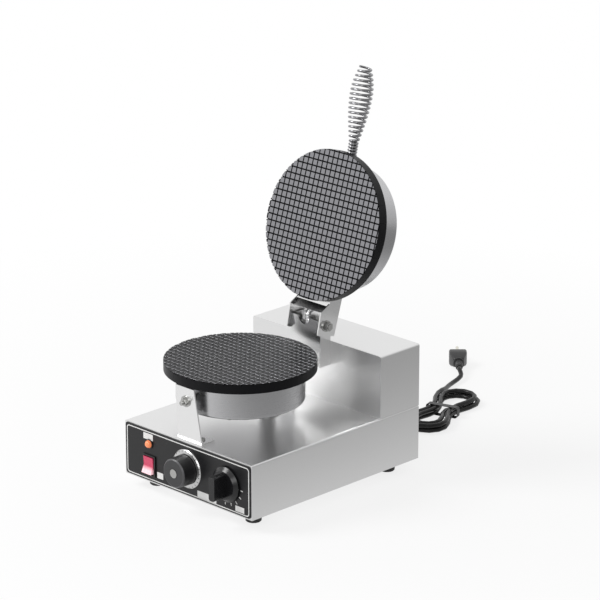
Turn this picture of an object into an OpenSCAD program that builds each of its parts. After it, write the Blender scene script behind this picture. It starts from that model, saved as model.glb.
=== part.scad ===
// Electric single-head cone baker: a low stainless base with a control panel, a fixed lower
// griddle on a bracket, and an upper griddle that swings on a hinge in front of a rear housing.
// Millimetres, +Z up, the floor at z = 0 and the middle of the base at x = 0, y = 0. The lid is
// drawn open, leaning back on its stop. Every lid piece is placed as if shut and then turned.

/* [Base] */
// Width of the base and of the rear housing
base_w = 250; // [240:1:300]
// Depth of the base from front to back
base_d = 326; // [310:1:380]
// Height of the base shell above its feet
base_h = 79; // [76:1:100]
// Thickness of the stainless sheet
sheet_t = 1.2; // [0.8:0.1:2]
// Outer radius of the sheet's long bends
bend_r = 3; // [2.5:0.5:5]
// Width of the inward flange that carries the bottom plate
flange_w = 14; // [12:1:20]
// Thickness of the bottom plate
plate_t = 1; // [0.8:0.1:2]

/* [Rear housing] */
// Depth of the rear housing
housing_d = 78; // [70:1:90]
// Height of the rear housing above the base
housing_h = 91; // [85:1:110]

/* [Feet] */
// Height of the rubber feet
foot_h = 17; // [14:1:25]
// Diameter of the rubber feet
foot_dia = 24; // [20:1:30]
// Distance of the feet from the sides
foot_in_x = 30; // [28:1:50]
// Distance of the feet from the front and the back
foot_in_y = 32; // [30:1:60]

/* [Griddles] */
// Diameter of both griddles
griddle_dia = 211; // [205:1:220]
// Thickness of the griddle plate
griddle_t = 10; // [9:0.5:12]
// Height of the lower griddle's rim
lower_rim = 14; // [12:0.5:20]
// Height of the upper griddle's rim
upper_rim = 16; // [12:0.5:20]
// Pitch of the waffle squares
waffle_pitch = 9; // [8:0.5:12]
// Width of the grooves between the squares
waffle_groove = 2.6; // [2:0.1:4]
// Depth of the grooves
waffle_deep = 2.2; // [1.5:0.1:3]
// Distance of the griddles' centre behind the front of the base
griddle_in = 101; // [98:1:110]
// Gap between the shut griddles
shut_gap = 1.5; // [1:0.1:3]

/* [Drums] */
// Diameter of the drums behind the griddles
drum_dia = 178; // [170:1:184]
// Wall of the drums
drum_t = 1; // [0.8:0.1:1.5]
// Depth of the lower griddle and its drum together
lower_head = 57.5; // [54:0.5:64]
// Depth of the upper griddle and its drum together
upper_head = 58; // [54:0.5:64]
// Gap between the base and the lower drum
drum_lift = 38; // [34:1:44]

/* [Hinge] */
// Distance of the hinge behind the griddles' centre
hinge_reach = 136; // [134:0.5:138]
// Height of the hinge above the lower griddle's face
hinge_rise = 20.2; // [19.5:0.1:21]
// How far the lid leans open
lid_open = 107; // [100:1:108]
// Outer width of the fixed bracket
bracket_w = 57; // [52:1:60]
// Thickness of the hinge brackets
bracket_t = 2; // [1.5:0.5:2.5]
// Radius of the hinge bolts
bolt_r = 4; // [3:0.5:4.5]

/* [Handle] */
// Length of the spring handle from the drum's wall to its tip
handle_l = 138; // [125:1:150]
// Distance of the handle's foot behind the upper griddle's face
handle_back = 32; // [29:1:36]
// Lean of the handle towards the griddle's face
handle_lean = 4.5; // [3:0.5:6]
// Diameter of the handle's wire
wire_dia = 3.4; // [3:0.1:3.6]
// Mean radius of the spring at its foot
spring_low_r = 5.6; // [5.5:0.1:7]
// Mean radius of the spring where it is widest
spring_wide_r = 14.9; // [12:0.1:16]

/* [Control panel] */
// Thickness of the black panel
panel_t = 1; // [0.8:0.1:2]
// Margin between the panel and the edges of the base
panel_edge = 2; // [1.5:0.5:6]
// Height of the knobs above the bottom of the base
knob_z = 40.5; // [38:0.5:44]
// Sideways place of the timer
timer_x = 0; // [-8:1:8]
// Sideways place of the thermostat
thermostat_x = 78; // [70:1:84]
// Sideways place of the switch and the lamp
switch_x = -75; // [-90:1:-66]
// Height of the switch above the bottom of the base
switch_z = 25; // [23:0.5:28]
// Height of the lamp above the bottom of the base
lamp_z = 56.5; // [54:0.5:60]
// Radius of the timer's scale ring
scale_r = 27.8; // [25:0.1:30]
// Radius of the timer's knob
timer_knob_r = 21.5; // [18:0.5:24]
// How far the timer's knob stands out from the base
timer_knob_out = 26.5; // [22:0.5:32]
// Radius of the thermostat knob's skirt
skirt_r = 25; // [22:0.5:27]
// How far the thermostat's grip stands out from the base
grip_out = 30; // [25:0.5:34]

/* [Front bracket] */
// Width of the front bracket at its foot
front_bracket_w = 47; // [40:1:56]
// Width of the front bracket at its top
front_bracket_top_w = 35; // [30:1:40]
// Lean of the front bracket towards the front
front_lean = 6; // [5:0.5:6.5]

/* [Cord] */
// Diameter of the mains cord
cord_dia = 7; // [6:0.5:7.5]
// Half length of the hank's straight runs
hank_half = 53; // [50:1:60]
// Half width of the hank's innermost loop
hank_wide = 21; // [20:0.5:25]
// How far the loops are drawn in at the waist
hank_pinch = 14; // [10:0.5:15]
// Step from loop to loop in one layer
hank_step = 8.8; // [8.6:0.1:10]
// Step from layer to layer
hank_rise = 7.6; // [7.5:0.1:9]
// Thickness of the tie round the hank
tie_t = 0.8; // [0.6:0.1:1.2]

/* [Hidden] */

$fn = 64;
fit = 0.05;
slack = 0.3;
cut = 1;

front_y = -base_d / 2;
rear_y = base_d / 2;
base_top = foot_h + base_h;
housing_front = rear_y - housing_d;
housing_top = base_top + housing_h;
inner_w = base_w - 2 * sheet_t;
inner_d = base_d - 2 * sheet_t;
ledge_z = foot_h + plate_t;

griddle_r = griddle_dia / 2;
griddle_y = front_y + griddle_in;
drum_r = drum_dia / 2;
drum_under = base_top + drum_lift;
face_z = drum_under + lower_head;
hinge_y = griddle_y + hinge_reach;
hinge_z = face_z + hinge_rise;

skirt_t = 4;
edge_cut = 1;
heater_r = 60;
heater_wire_r = 4;
heater_gap_deg = 16;
heater_leg_r = 3;
heater_leg_l = 20;
wire_space_w = 44;
wire_space_in = 22;
bolt_space_w = 56;
bolt_space_d = 26;
clamp_r = 72;
clamp_t = 2;
clamp_top = griddle_t + 2 * heater_wire_r + clamp_t;
drum_bend = 3;
boss_ring_r = 30;
boss_r = 6;
post_ring_r = 79;
post_r = 5;
post_first_deg = 35;
insulation_gap = 0.3;
capillary_in = 48;
screw_r = 2;
screw_head_r = 3.6;
screw_head_h = 2.2;
foot_floor_t = 5;
foot_nut_h = 3.2;

conduit_r = 11;
conduit_wall = 1.5;
conduit_y = griddle_y + 52;
conduit_collar_r = 16;
conduit_collar_t = 2;

bracket_half = bracket_w / 2;
hinge_cover = 9.3;
sleeve_r = 4;
sleeve_room = 2 * sleeve_r + 0.9;
sleeve_back = housing_front - hinge_y;
bracket_front = max(hinge_cover, sleeve_room + bracket_t - sleeve_back);
bracket_low = 60;
bracket_top = 7.8;
bracket_flange = 14;
notch_r = 10.5;
notch_x = -4;
stop_l = 9;
ear_gap = 0.3;
ear_in = bracket_half + ear_gap;
ear_out = ear_in + bracket_t;
ear_rear = 15.5;
ear_high = 20.5;
stop_r = ear_high - bracket_t - slack;
ear_low = 14.5;
web_low = 2.4;
web_bend = 27;
web_end = 17;
web_drop = 9;
tab_t = 2;
bolt_head_r = 6.5;
bolt_head_h = 5.3;
washer_r = 8;
washer_t = 1.6;
sleeve_drum_z = 9;

panel_mid_z = foot_h + base_h / 2;
bush_r = 5;
shaft_r = 3;
lamp_r = 5;
bezel_w = 25;
bezel_h = 31;
bezel_t = 2;
switch_cut_w = 22;
switch_cut_h = 28;
rocker_w = 18.4;
rocker_half_h = 11.8;
rocker_tilt = 9;
rocker_pin_r = 1.5;
pivot_in = 2;
scale_t = 3;
scale_in = timer_knob_r - 2;
timer_box = [50, 26, 44];
thermostat_box = [46, 30, 34];
control_screw_x = 14;

gland_x = 5;
gland_z = 36;
gland_l = 30;
gland_hole_r = 7;

// A box centred on x and y, from z up
module block(size) {
    translate([-size[0] / 2, -size[1] / 2, 0]) cube(size);
}

// A cylinder that points towards the back of the machine from where it stands
module along_y(r, l, sides = 64) {
    rotate([-90, 0, 0]) cylinder(r = r, h = l, $fn = sides);
}

// A cylinder that points to the right from where it stands
module along_x(r, l, sides = 64) {
    rotate([0, 90, 0]) cylinder(r = r, h = l, $fn = sides);
}

// A rectangle with round corners, centred
module round_rect(w, h, r) {
    square([w - 2 * r, h], center = true);
    square([w, h - 2 * r], center = true);
    for (x = [-1, 1])
        for (y = [-1, 1])
            translate([x * (w / 2 - r), y * (h / 2 - r)]) circle(r = r);
}

// The cross-section of a folded box: round at its two upper edges, from y = 0 up
module fold_2d(w, h, r) {
    translate([-w / 2, 0]) square([w, h - r]);
    translate([-w / 2 + r, 0]) square([w - 2 * r, h]);
    for (x = [-1, 1]) translate([x * (w / 2 - r), h - r]) circle(r = r);
}

// A folded box, closed at both ends, from its front at y = 0 backwards and from z = 0 up
module fold_box(w, d, h, r) {
    translate([0, d, 0]) rotate([90, 0, 0]) linear_extrude(d) fold_2d(w, h, r);
}

// A pan-head screw whose head stands on z = 0 and whose shank points down
module pan_screw(l, r = screw_r, head_r = screw_head_r, head_h = screw_head_h) {
    difference() {
        union() {
            cylinder(r = head_r, h = head_h, $fn = 32);
            translate([0, 0, -l]) cylinder(r = r, h = l + head_h / 2, $fn = 32);
        }
        for (a = [0, 90])
            rotate([0, 0, a]) translate([0, 0, head_h / 2]) block([head_r, head_r / 4, head_h]);
    }
}

// Copies for each of n places on a ring
module ring_of(n, r, first = 0) {
    for (i = [0:n - 1])
        rotate([0, 0, first + i * 360 / n]) translate([r, 0, 0]) children();
}

// Copies at the four corners of a rectangle
module corners(dx, dy) {
    for (x = [-1, 1])
        for (y = [-1, 1]) translate([x * dx, y * dy, 0]) children();
}

function unit(v) = v / norm(v);
function turned(pts, i) = unit(pts[min(i + 1, len(pts) - 1)] - pts[max(i - 1, 0)]);
function side_way(t, up) = unit(cross(t, up));

// The corners of a tube's rings along a route, with an upright direction for each ring
function tube_corners(pts, ups, r, n) = [
    for (i = [0:len(pts) - 1])
        let (t = turned(pts, i), s = side_way(t, ups[i]), u = cross(s, t))
            for (k = [0:n - 1])
                let (a = 360 * (k + 0.5) / n) pts[i] + r * (cos(a) * s + sin(a) * u)
];
function tube_walls(m, n) = [
    for (i = [0:m - 2])
        for (k = [0:n - 1])
            let (a = i * n + k, b = i * n + (k + 1) % n)
                each [[a, b, b + n], [a, b + n, a + n]]
];
function tube_ends(m, n) = [
    for (k = [1:n - 2]) each [[0, k + 1, k], [(m - 1) * n, (m - 1) * n + k, (m - 1) * n + k + 1]]
];
function same(v, n) = [for (i = [1:n]) v];

// One unbroken tube along a route
module tube(pts, ups, r, n) {
    polyhedron(
        points = tube_corners(pts, ups, r, n),
        faces = concat(tube_walls(len(pts), n), tube_ends(len(pts), n))
    );
}

// The least distance of a route to itself, leaving out the nearest few steps along it
function self_gap(pts, skip) = min([
    for (i = [0:len(pts) - 1 - skip])
        for (j = [i + skip:len(pts) - 1]) norm(pts[i] - pts[j])
]);
function halves(pts) = [
    for (i = [0:len(pts) - 2]) each [pts[i], (pts[i] + pts[i + 1]) / 2]
];
function route_length(pts, i = 0) =
    i >= len(pts) - 1 ? 0 : norm(pts[i + 1] - pts[i]) + route_length(pts, i + 1);

// A smooth curve through hand-chosen points, each span cut into a number of steps
function smooth(p, i, t) =
    let (a = p[max(i - 1, 0)], b = p[i], c = p[i + 1], d = p[min(i + 2, len(p) - 1)])
        ((2 * b) + (c - a) * t + (2 * a - 5 * b + 4 * c - d) * t * t
            + (3 * b - a - 3 * c + d) * t * t * t) / 2;
function smooth_route(p, steps) = concat(
    [for (i = [0:len(p) - 2]) for (k = [0:steps - 1]) smooth(p, i, k / steps)],
    [p[len(p) - 1]]
);

// Where the lid's pieces are drawn: the hinge line, and the upper griddle's face
module lid_frame() {
    translate([0, hinge_y, hinge_z]) rotate([-lid_open, 0, 0]) children();
}
module upper_frame() {
    lid_frame() translate([0, -hinge_reach, shut_gap - hinge_rise]) children();
}
module lower_frame() {
    translate([0, griddle_y, face_z]) mirror([0, 0, 1]) children();
}
// A point beside the hinge line of the turned lid, from its place y back and z up when shut
function lid_point(y, z) = [
    0,
    hinge_y + y * cos(lid_open) + z * sin(lid_open),
    hinge_z - y * sin(lid_open) + z * cos(lid_open)
];
function hinge_point(y, z) = [0, hinge_y + y, hinge_z + z];

// The places of the fasteners that several pieces share
module bottom_screw_places() {
    for (x = [-1, 1])
        for (y = [-1, 0, 1])
            translate([x * (inner_w - flange_w) / 2, y * (inner_d / 2 - 26), 0]) children();
}
module foot_places() {
    corners(base_w / 2 - foot_in_x, base_d / 2 - foot_in_y) children();
}
module housing_screw_places() {
    translate([0, rear_y - housing_d / 2, base_top])
        corners(inner_w / 2 - flange_w / 2, housing_d / 2 - 20) children();
}
module front_foot_screw_places() {
    for (x = [-1, 1])
        translate([x * front_bracket_w / 4, front_y + front_foot_y + 13, base_top]) children();
}
module rear_foot_screw_places() {
    for (x = [-1, 1]) translate([x * 8, rear_support_y - 12, base_top]) children();
}
module hinge_screw_places() {
    for (x = [-1, 1])
        for (z = [-52, -32])
            translate([x * (bracket_half - bracket_flange / 2 - 1), housing_front, hinge_z + z])
                rotate([90, 0, 0]) children();
}
module control_screw_places(x) {
    for (s = [-1, 1])
        translate([x + s * control_screw_x, front_y, foot_h + knob_z])
            rotate([90, 0, 0]) children();
}

front_foot_y = 4.5;
front_plate_t = 2;
front_plate_l = drum_lift + lower_head - lower_rim - 0.6;
front_bolt_up = 60;
front_bolt_r = 3;
front_flange_d = 24;
drum_front_in = griddle_in - drum_r;
rear_support_y = griddle_y + drum_r + 0.3;
rear_support_w = 30;
rear_support_h = 62;
rear_bolt_up = 50;
support_t = 2;

// The holes of the front: through the shell's front wall and the black panel alike
module panel_holes() {
    translate([switch_x, front_y - 3, foot_h + lamp_z]) along_y(lamp_r + fit, 6);
    translate([switch_x, front_y, foot_h + switch_z - switch_cut_h / 2 - fit])
        block([switch_cut_w + 2 * fit, 6, switch_cut_h + 2 * fit]);
    for (x = [timer_x, thermostat_x]) {
        translate([x, front_y - 3, foot_h + knob_z]) along_y(bush_r + fit, 6);
        control_screw_places(x) translate([0, 0, -3]) cylinder(r = 1.5 + fit, h = 6, $fn = 32);
    }
}

module base_shell() {
    color("gainsboro") difference() {
        translate([0, front_y, foot_h]) fold_box(base_w, base_d, base_h, bend_r);
        translate([0, front_y + sheet_t, ledge_z + sheet_t])
            fold_box(inner_w, inner_d, base_h - plate_t - 2 * sheet_t, bend_r - sheet_t);
        translate([0, 0, foot_h - cut])
            block([inner_w - 2 * flange_w, inner_d - 2 * flange_w, plate_t + sheet_t + 2 * cut]);
        translate([0, 0, foot_h - cut]) block([inner_w, inner_d, plate_t + cut]);
        panel_holes();
        bottom_screw_places() translate([0, 0, foot_h]) cylinder(r = screw_r + fit, h = 6);
        translate([0, conduit_y, base_top - 5]) cylinder(r = conduit_r + fit, h = 10);
        translate([0, housing_front + 30, base_top - 5]) cylinder(r = 12, h = 10);
        housing_screw_places() translate([0, 0, -5]) cylinder(r = screw_r + fit, h = 10);
        front_foot_screw_places() translate([0, 0, -5]) cylinder(r = screw_r + fit, h = 10);
        rear_foot_screw_places() translate([0, 0, -5]) cylinder(r = screw_r + fit, h = 10);
        translate([gland_x, rear_y - 5, gland_z]) along_y(gland_hole_r + fit, 10);
    }
}

module bottom_plate() {
    vent_rows = 3;
    vents = 6;
    color("silver") difference() {
        translate([0, 0, foot_h]) block([inner_w - 2 * fit, inner_d - 2 * fit, plate_t - fit]);
        bottom_screw_places() translate([0, 0, foot_h - 5]) cylinder(r = screw_r + fit, h = 10);
        foot_places() translate([0, 0, foot_h - 5]) cylinder(r = screw_r + fit, h = 10);
        for (i = [0:vents - 1])
            for (j = [0:vent_rows - 1])
                translate([
                    (i - (vents - 1) / 2) * 16,
                    (j - (vent_rows - 1) / 2) * 60,
                    foot_h - 5
                ]) block([4, 40, 10]);
    }
}

module bottom_screws() {
    color("silver") bottom_screw_places()
        translate([0, 0, foot_h]) mirror([0, 0, 1]) pan_screw(7);
}

module feet() {
    color([0.08, 0.08, 0.08]) foot_places() difference() {
        rotate_extrude() polygon([
            [0, 0], [foot_dia / 2 - 2, 0], [foot_dia / 2 - 1, 1], [foot_dia / 2, foot_h], [0, foot_h]
        ]);
        translate([0, 0, -cut]) cylinder(r = 5, h = foot_h - foot_floor_t + cut);
        cylinder(r = screw_r + fit, h = foot_h + cut);
    }
}

module foot_screws() {
    color("silver") foot_places() {
        translate([0, 0, foot_h - foot_floor_t]) mirror([0, 0, 1])
            pan_screw(foot_floor_t + plate_t + 1.9 * foot_nut_h);
        translate([0, 0, foot_h + plate_t]) difference() {
            cylinder(r = 2 * screw_r, h = foot_nut_h, $fn = 6);
            translate([0, 0, -cut]) cylinder(r = screw_r + fit, h = foot_nut_h + 2 * cut);
        }
    }
}

module front_panel() {
    color([0.1, 0.1, 0.1]) difference() {
        translate([0, front_y, panel_mid_z]) rotate([90, 0, 0])
            linear_extrude(panel_t)
                round_rect(base_w - 2 * panel_edge, base_h - 2 * panel_edge, 4);
        panel_holes();
    }
}

module rear_housing() {
    color("gainsboro") difference() {
        translate([0, housing_front, base_top]) fold_box(base_w, housing_d, housing_h, bend_r);
        translate([0, housing_front + sheet_t, base_top + sheet_t])
            fold_box(inner_w, housing_d - 2 * sheet_t, housing_h - 2 * sheet_t, bend_r - sheet_t);
        translate([0, rear_y - housing_d / 2, base_top - cut])
            block([inner_w - 2 * flange_w, housing_d - 2 * sheet_t - 24, 6]);
        housing_screw_places() translate([0, 0, -5]) cylinder(r = screw_r + fit, h = 10);
        hinge_screw_places() translate([0, 0, -5]) cylinder(r = screw_r + fit, h = 10);
        translate([0, housing_front - cut, hinge_z + sleeve_hole_z]) along_y(sleeve_r + fit, 4);
    }
}

module housing_screws() {
    color("silver") housing_screw_places()
        translate([0, 0, -sheet_t]) mirror([0, 0, 1]) pan_screw(6);
}

// The front bracket's own frame: its foot's front edge, then the plate's plane
module front_plate_frame() {
    translate([0, front_y + front_foot_y, base_top]) rotate([front_lean, 0, 0]) children();
}

// Front view of the front bracket: as wide as its foot, then narrower towards its top
module front_bracket_2d() {
    low = front_bracket_w / 2;
    high = front_bracket_top_w / 2;
    top = front_plate_l + front_plate_t;
    polygon([
        [-low, 0], [low, 0], [low, front_plate_t], [high, top], [-high, top], [-low, front_plate_t]
    ]);
}

module front_bracket() {
    t = front_plate_t;
    up = [-sin(front_lean), cos(front_lean)];
    top = front_plate_l * up;
    top_back = top + t * [cos(front_lean), sin(front_lean)];
    color("gainsboro") difference() {
        translate([0, front_y + front_foot_y, base_top]) intersection() {
            translate([-front_bracket_w, 0, 0]) rotate([90, 0, 90])
                linear_extrude(2 * front_bracket_w)
                    polygon([
                        [0, 0], [front_flange_d, 0], [front_flange_d, t],
                        [t / cos(front_lean) - t * tan(front_lean), t], top_back, top
                    ]);
            translate([0, 50, 0]) rotate([90, 0, 0]) linear_extrude(100) front_bracket_2d();
        }
        front_plate_frame() translate([0, -5, front_bolt_up]) along_y(front_bolt_r + fit, 12);
        front_foot_screw_places() translate([0, 0, -5]) cylinder(r = screw_r + fit, h = 12);
    }
}

// Bolt, washers, spacer and nut between the front bracket and the drum, and the bracket's screws
module front_bracket_bolt() {
    spacer_l = drum_front_in - front_foot_y + front_bolt_up * sin(front_lean) - 2.9;
    color("silver") {
        front_plate_frame() translate([0, 0, front_bolt_up]) {
            translate([0, -washer_t, 0]) difference() {
                along_y(washer_r, washer_t);
                translate([0, -cut, 0]) along_y(front_bolt_r + fit, 6);
            }
            translate([0, -washer_t, 0]) along_y(front_bolt_r, washer_t + spacer_l + 12);
            translate([0, -washer_t - 4, 0]) along_y(5.5, 4, 6);
            translate([0, -washer_t - 8, 0]) along_y(front_bolt_r, 8);
            translate([0, front_plate_t, 0]) difference() {
                along_y(5.5, spacer_l);
                translate([0, -cut, 0]) along_y(front_bolt_r + fit, spacer_l + 2 * cut);
            }
            translate([0, front_plate_t + spacer_l + 2.9, 0]) difference() {
                along_y(5.5, 4, 6);
                translate([0, -cut, 0]) along_y(front_bolt_r + fit, 9);
            }
        }
        front_foot_screw_places() translate([0, 0, front_plate_t]) pan_screw(6);
    }
}

module rear_support() {
    color("gainsboro") difference() {
        union() {
            translate([0, rear_support_y + support_t / 2, base_top])
                block([rear_support_w, support_t, rear_support_h]);
            translate([0, rear_support_y + support_t - 11, base_top])
                block([rear_support_w, 22, support_t]);
        }
        rear_foot_screw_places() translate([0, 0, -5]) cylinder(r = screw_r + fit, h = 12);
        translate([0, rear_support_y - 5, base_top + rear_bolt_up])
            along_y(front_bolt_r + fit, 12);
    }
}

module rear_support_bolt() {
    color("silver") {
        rear_foot_screw_places() translate([0, 0, support_t]) pan_screw(6);
        translate([0, rear_support_y + support_t, base_top + rear_bolt_up])
            rotate([-90, 0, 0]) pan_screw(12, front_bolt_r, 6, 3.5);
        translate([0, griddle_y + drum_r - drum_t - 4.6, base_top + rear_bolt_up]) difference() {
            along_y(5.5, 4, 6);
            translate([0, -cut, 0]) along_y(front_bolt_r + fit, 9);
        }
    }
}

// Pipe that carries the lower heater's wires, with a collar on the base and one under the drum
module lower_conduit() {
    low = base_top - 8;
    high = drum_under + drum_t + 6;
    color("silver") translate([0, conduit_y, 0]) difference() {
        union() {
            translate([0, 0, low]) cylinder(r = conduit_r, h = high - low);
            translate([0, 0, base_top]) cylinder(r = conduit_collar_r, h = conduit_collar_t);
            translate([0, 0, drum_under - conduit_collar_t])
                cylinder(r = conduit_collar_r, h = conduit_collar_t);
        }
        translate([0, 0, low - cut]) cylinder(r = conduit_r - conduit_wall, h = high);
    }
}

// Griddle with its face at z = 0 and its back upwards: plate, rim, bosses and posts
module griddle(rim, head) {
    rows = floor(griddle_r / waffle_pitch);
    difference() {
        union() {
            rotate_extrude() polygon([
                [0, 0], [griddle_r - edge_cut, 0], [griddle_r, edge_cut], [griddle_r, rim],
                [griddle_r - skirt_t, rim], [griddle_r - skirt_t, griddle_t], [0, griddle_t]
            ]);
            ring_of(3, boss_ring_r, 90)
                cylinder(r = boss_r, h = griddle_t + 2 * heater_wire_r);
            ring_of(4, post_ring_r, post_first_deg)
                cylinder(r = post_r, h = head - drum_t);
        }
        ring_of(3, boss_ring_r, 90)
            translate([0, 0, griddle_t]) cylinder(r = screw_r + fit, h = 30);
        ring_of(4, post_ring_r, post_first_deg)
            translate([0, 0, head - 18]) cylinder(r = screw_r + fit, h = 30);
        for (i = [-rows:rows])
            for (a = [0, 90])
                rotate([0, 0, a])
                    translate([(i + 0.5) * waffle_pitch, 0, -cut])
                        block([waffle_groove, 2 * griddle_r + 2, waffle_deep + cut]);
    }
}

module drum_2d(r, h, bend) {
    square([r, h - bend]);
    square([r - bend, h]);
    translate([r - bend, h - bend]) circle(r = bend);
}

// Spun drum that hangs on the griddle's back, round at its far edge
module drum(head) {
    h = head - griddle_t;
    bend = drum_bend;
    translate([0, 0, griddle_t]) difference() {
        rotate_extrude() intersection() {
            drum_2d(drum_r, h, bend);
            square([drum_r, h]);
        }
        translate([0, 0, -cut]) rotate_extrude() intersection() {
            drum_2d(drum_r - drum_t, h + cut - drum_t, bend - drum_t);
            square([drum_r, h + cut]);
        }
        ring_of(4, post_ring_r, post_first_deg) cylinder(r = screw_r + fit, h = head);
    }
}

// Tubular heating ring with two legs at the hinge side
module heater() {
    turn = 90 + heater_gap_deg / 2;
    translate([0, 0, griddle_t + heater_wire_r]) {
        rotate([0, 0, turn]) rotate_extrude(angle = 360 - heater_gap_deg)
            translate([heater_r, 0]) circle(r = heater_wire_r, $fn = 32);
        for (s = [-1, 1])
            rotate([0, 0, 90 + s * heater_gap_deg / 2]) translate([heater_r, 0, 0])
                cylinder(r = heater_leg_r, h = heater_leg_l, $fn = 32);
    }
}

module heater_legs_cut(r) {
    for (s = [-1, 1])
        rotate([0, 0, 90 + s * heater_gap_deg / 2]) translate([heater_r, 0, 0])
            cylinder(r = r, h = drum_r, $fn = 32);
}

module clamp_plate() {
    translate([0, 0, clamp_top - clamp_t]) difference() {
        cylinder(r = clamp_r, h = clamp_t);
        ring_of(3, boss_ring_r, 90)
            translate([0, 0, -cut]) cylinder(r = screw_r + fit, h = 9);
        translate([0, 0, -cut]) heater_legs_cut(5);
        translate([4, capillary_in, -cut]) cylinder(r = 3, h = 9, $fn = 32);
    }
}

module clamp_screws() {
    ring_of(3, boss_ring_r, 90) translate([0, 0, clamp_top]) pan_screw(9);
}

// Ceramic-wool disc between the clamp plate and the drum's floor
module insulation(head) {
    h = head - drum_t - clamp_top - insulation_gap;
    r = drum_r - drum_t - insulation_gap;
    translate([0, 0, clamp_top]) difference() {
        rotate_extrude() polygon([
            [0, 0], [r, 0], [r, h - drum_bend], [r - drum_bend, h], [0, h]
        ]);
        translate([0, 0, -cut]) ring_of(3, boss_ring_r, 90)
            cylinder(r = screw_head_r + insulation_gap, h = screw_head_h + insulation_gap + cut);
        translate([0, 0, -cut]) ring_of(4, post_ring_r, post_first_deg)
            cylinder(r = post_r + insulation_gap, h = drum_r);
        translate([0, 0, -cut]) rotate([0, 0, 90 + heater_gap_deg / 2]) intersection() {
            difference() {
                cylinder(r = drum_r, h = drum_r);
                translate([0, 0, -cut]) cylinder(r = heater_r - wire_space_in, h = drum_r + 2 * cut);
            }
            rotate([0, 0, -heater_gap_deg / 2]) translate([heater_r, 0, 0])
                block([heater_r + wire_space_in, wire_space_w, drum_r]);
        }
        children();
    }
}

module drum_screws(head) {
    ring_of(4, post_ring_r, post_first_deg) translate([0, 0, head]) pan_screw(14);
}

griddle_black = [0.16, 0.16, 0.17];
wool_white = [0.9, 0.88, 0.8];

module lower_griddle() {
    color(griddle_black) lower_frame() griddle(lower_rim, lower_head);
}

module lower_drum() {
    color("silver") difference() {
        lower_frame() drum(lower_head);
        translate([0, conduit_y, drum_under - 5]) cylinder(r = conduit_r + fit, h = 10);
        front_plate_frame() translate([0, 5, front_bolt_up]) along_y(front_bolt_r + 0.6, 14);
        translate([0, rear_support_y - 5, base_top + rear_bolt_up])
            along_y(front_bolt_r + fit, 12);
    }
}

module lower_heater() {
    color("dimgray") lower_frame() heater();
}

module lower_clamp_plate() {
    color("silver") lower_frame() clamp_plate();
}

module lower_clamp_screws() {
    color("silver") lower_frame() clamp_screws();
}

module lower_insulation() {
    color(wool_white) lower_frame() insulation(lower_head)
        for (a = [-90, 90])
            rotate([0, 0, a]) translate([drum_r, 0, -cut])
                block([bolt_space_w, bolt_space_d, drum_r]);
}

module lower_drum_screws() {
    color("silver") lower_frame() drum_screws(lower_head);
}

// Side view of the fixed bracket's ear beside the hinge line: y back, z up. Its rear edge is round
// where the lid's back plate swings past it and flat where the open lid comes to rest
module fixed_ear_2d() {
    rear = sleeve_back - 0.02;
    difference() {
        union() {
            translate([-bracket_front, -bracket_low])
                square([bracket_front + rear, bracket_low + bracket_top]);
            intersection() {
                union() {
                    circle(r = stop_r);
                    rotate([0, 0, 90 - lid_open]) translate([0, -stop_l]) square([stop_r, stop_l]);
                }
                translate([-bracket_front, housing_top + slack - hinge_z])
                    square([60, bracket_top + hinge_z - housing_top - slack]);
            }
        }
        translate([-60, bracket_top]) square([120, 60]);
    }
}

module hinge_bracket() {
    back = sleeve_back - 0.02;
    color("silver") translate([0, hinge_y, hinge_z]) difference() {
        union() {
            for (s = [-1, 1])
                translate([s * (bracket_half - bracket_t / 2) - bracket_t / 2, 0, 0])
                    rotate([90, 0, 90]) linear_extrude(bracket_t) fixed_ear_2d();
            translate([-bracket_half, -bracket_front, -bracket_low])
                cube([bracket_w, bracket_t, bracket_low + bracket_top]);
            for (s = [-1, 1])
                translate([
                    s * (bracket_half - bracket_flange / 2) - bracket_flange / 2,
                    back - bracket_t,
                    -bracket_low
                ]) cube([bracket_flange, bracket_t, housing_top - hinge_z + bracket_low - 2]);
        }
        translate([-bracket_half - cut, 0, 0]) along_x(bolt_r + fit, bracket_w + 2 * cut);
        translate([notch_x, -bracket_front - cut, bracket_top]) along_y(notch_r, bracket_t + 2 * cut);
        for (s = [-1, 1])
            for (z = [-52, -32])
                translate([s * (bracket_half - bracket_flange / 2 - 1), back - 5, z])
                    along_y(screw_r + fit, 9);
    }
}

module hinge_bracket_screws() {
    color("silver") hinge_screw_places() translate([0, 0, bracket_t + 0.02]) pan_screw(8);
}

// Two short hinge bolts, each with a washer outside the lid's ear and a nut inside
module hinge_bolts() {
    outer = ear_out + 0.1;
    color("silver") translate([0, hinge_y, hinge_z]) for (s = [0, 180]) rotate([0, 0, s]) {
        translate([bracket_half - bracket_t - 7, 0, 0])
            along_x(bolt_r, outer + washer_t + 6.5 - (bracket_half - bracket_t - 7));
        translate([outer, 0, 0]) difference() {
            along_x(washer_r, washer_t);
            translate([-cut, 0, 0]) along_x(bolt_r + fit, 9);
        }
        translate([outer + washer_t, 0, 0]) difference() {
            along_x(bolt_head_r, bolt_head_h, 6);
            translate([-cut, 0, 0]) along_x(bolt_r - 0.5, 3);
        }
        translate([bracket_half - bracket_t - bolt_head_h, 0, 0]) difference() {
            along_x(bolt_head_r, bolt_head_h, 6);
            translate([-cut, 0, 0]) along_x(bolt_r + fit, 9);
        }
    }
}

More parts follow.
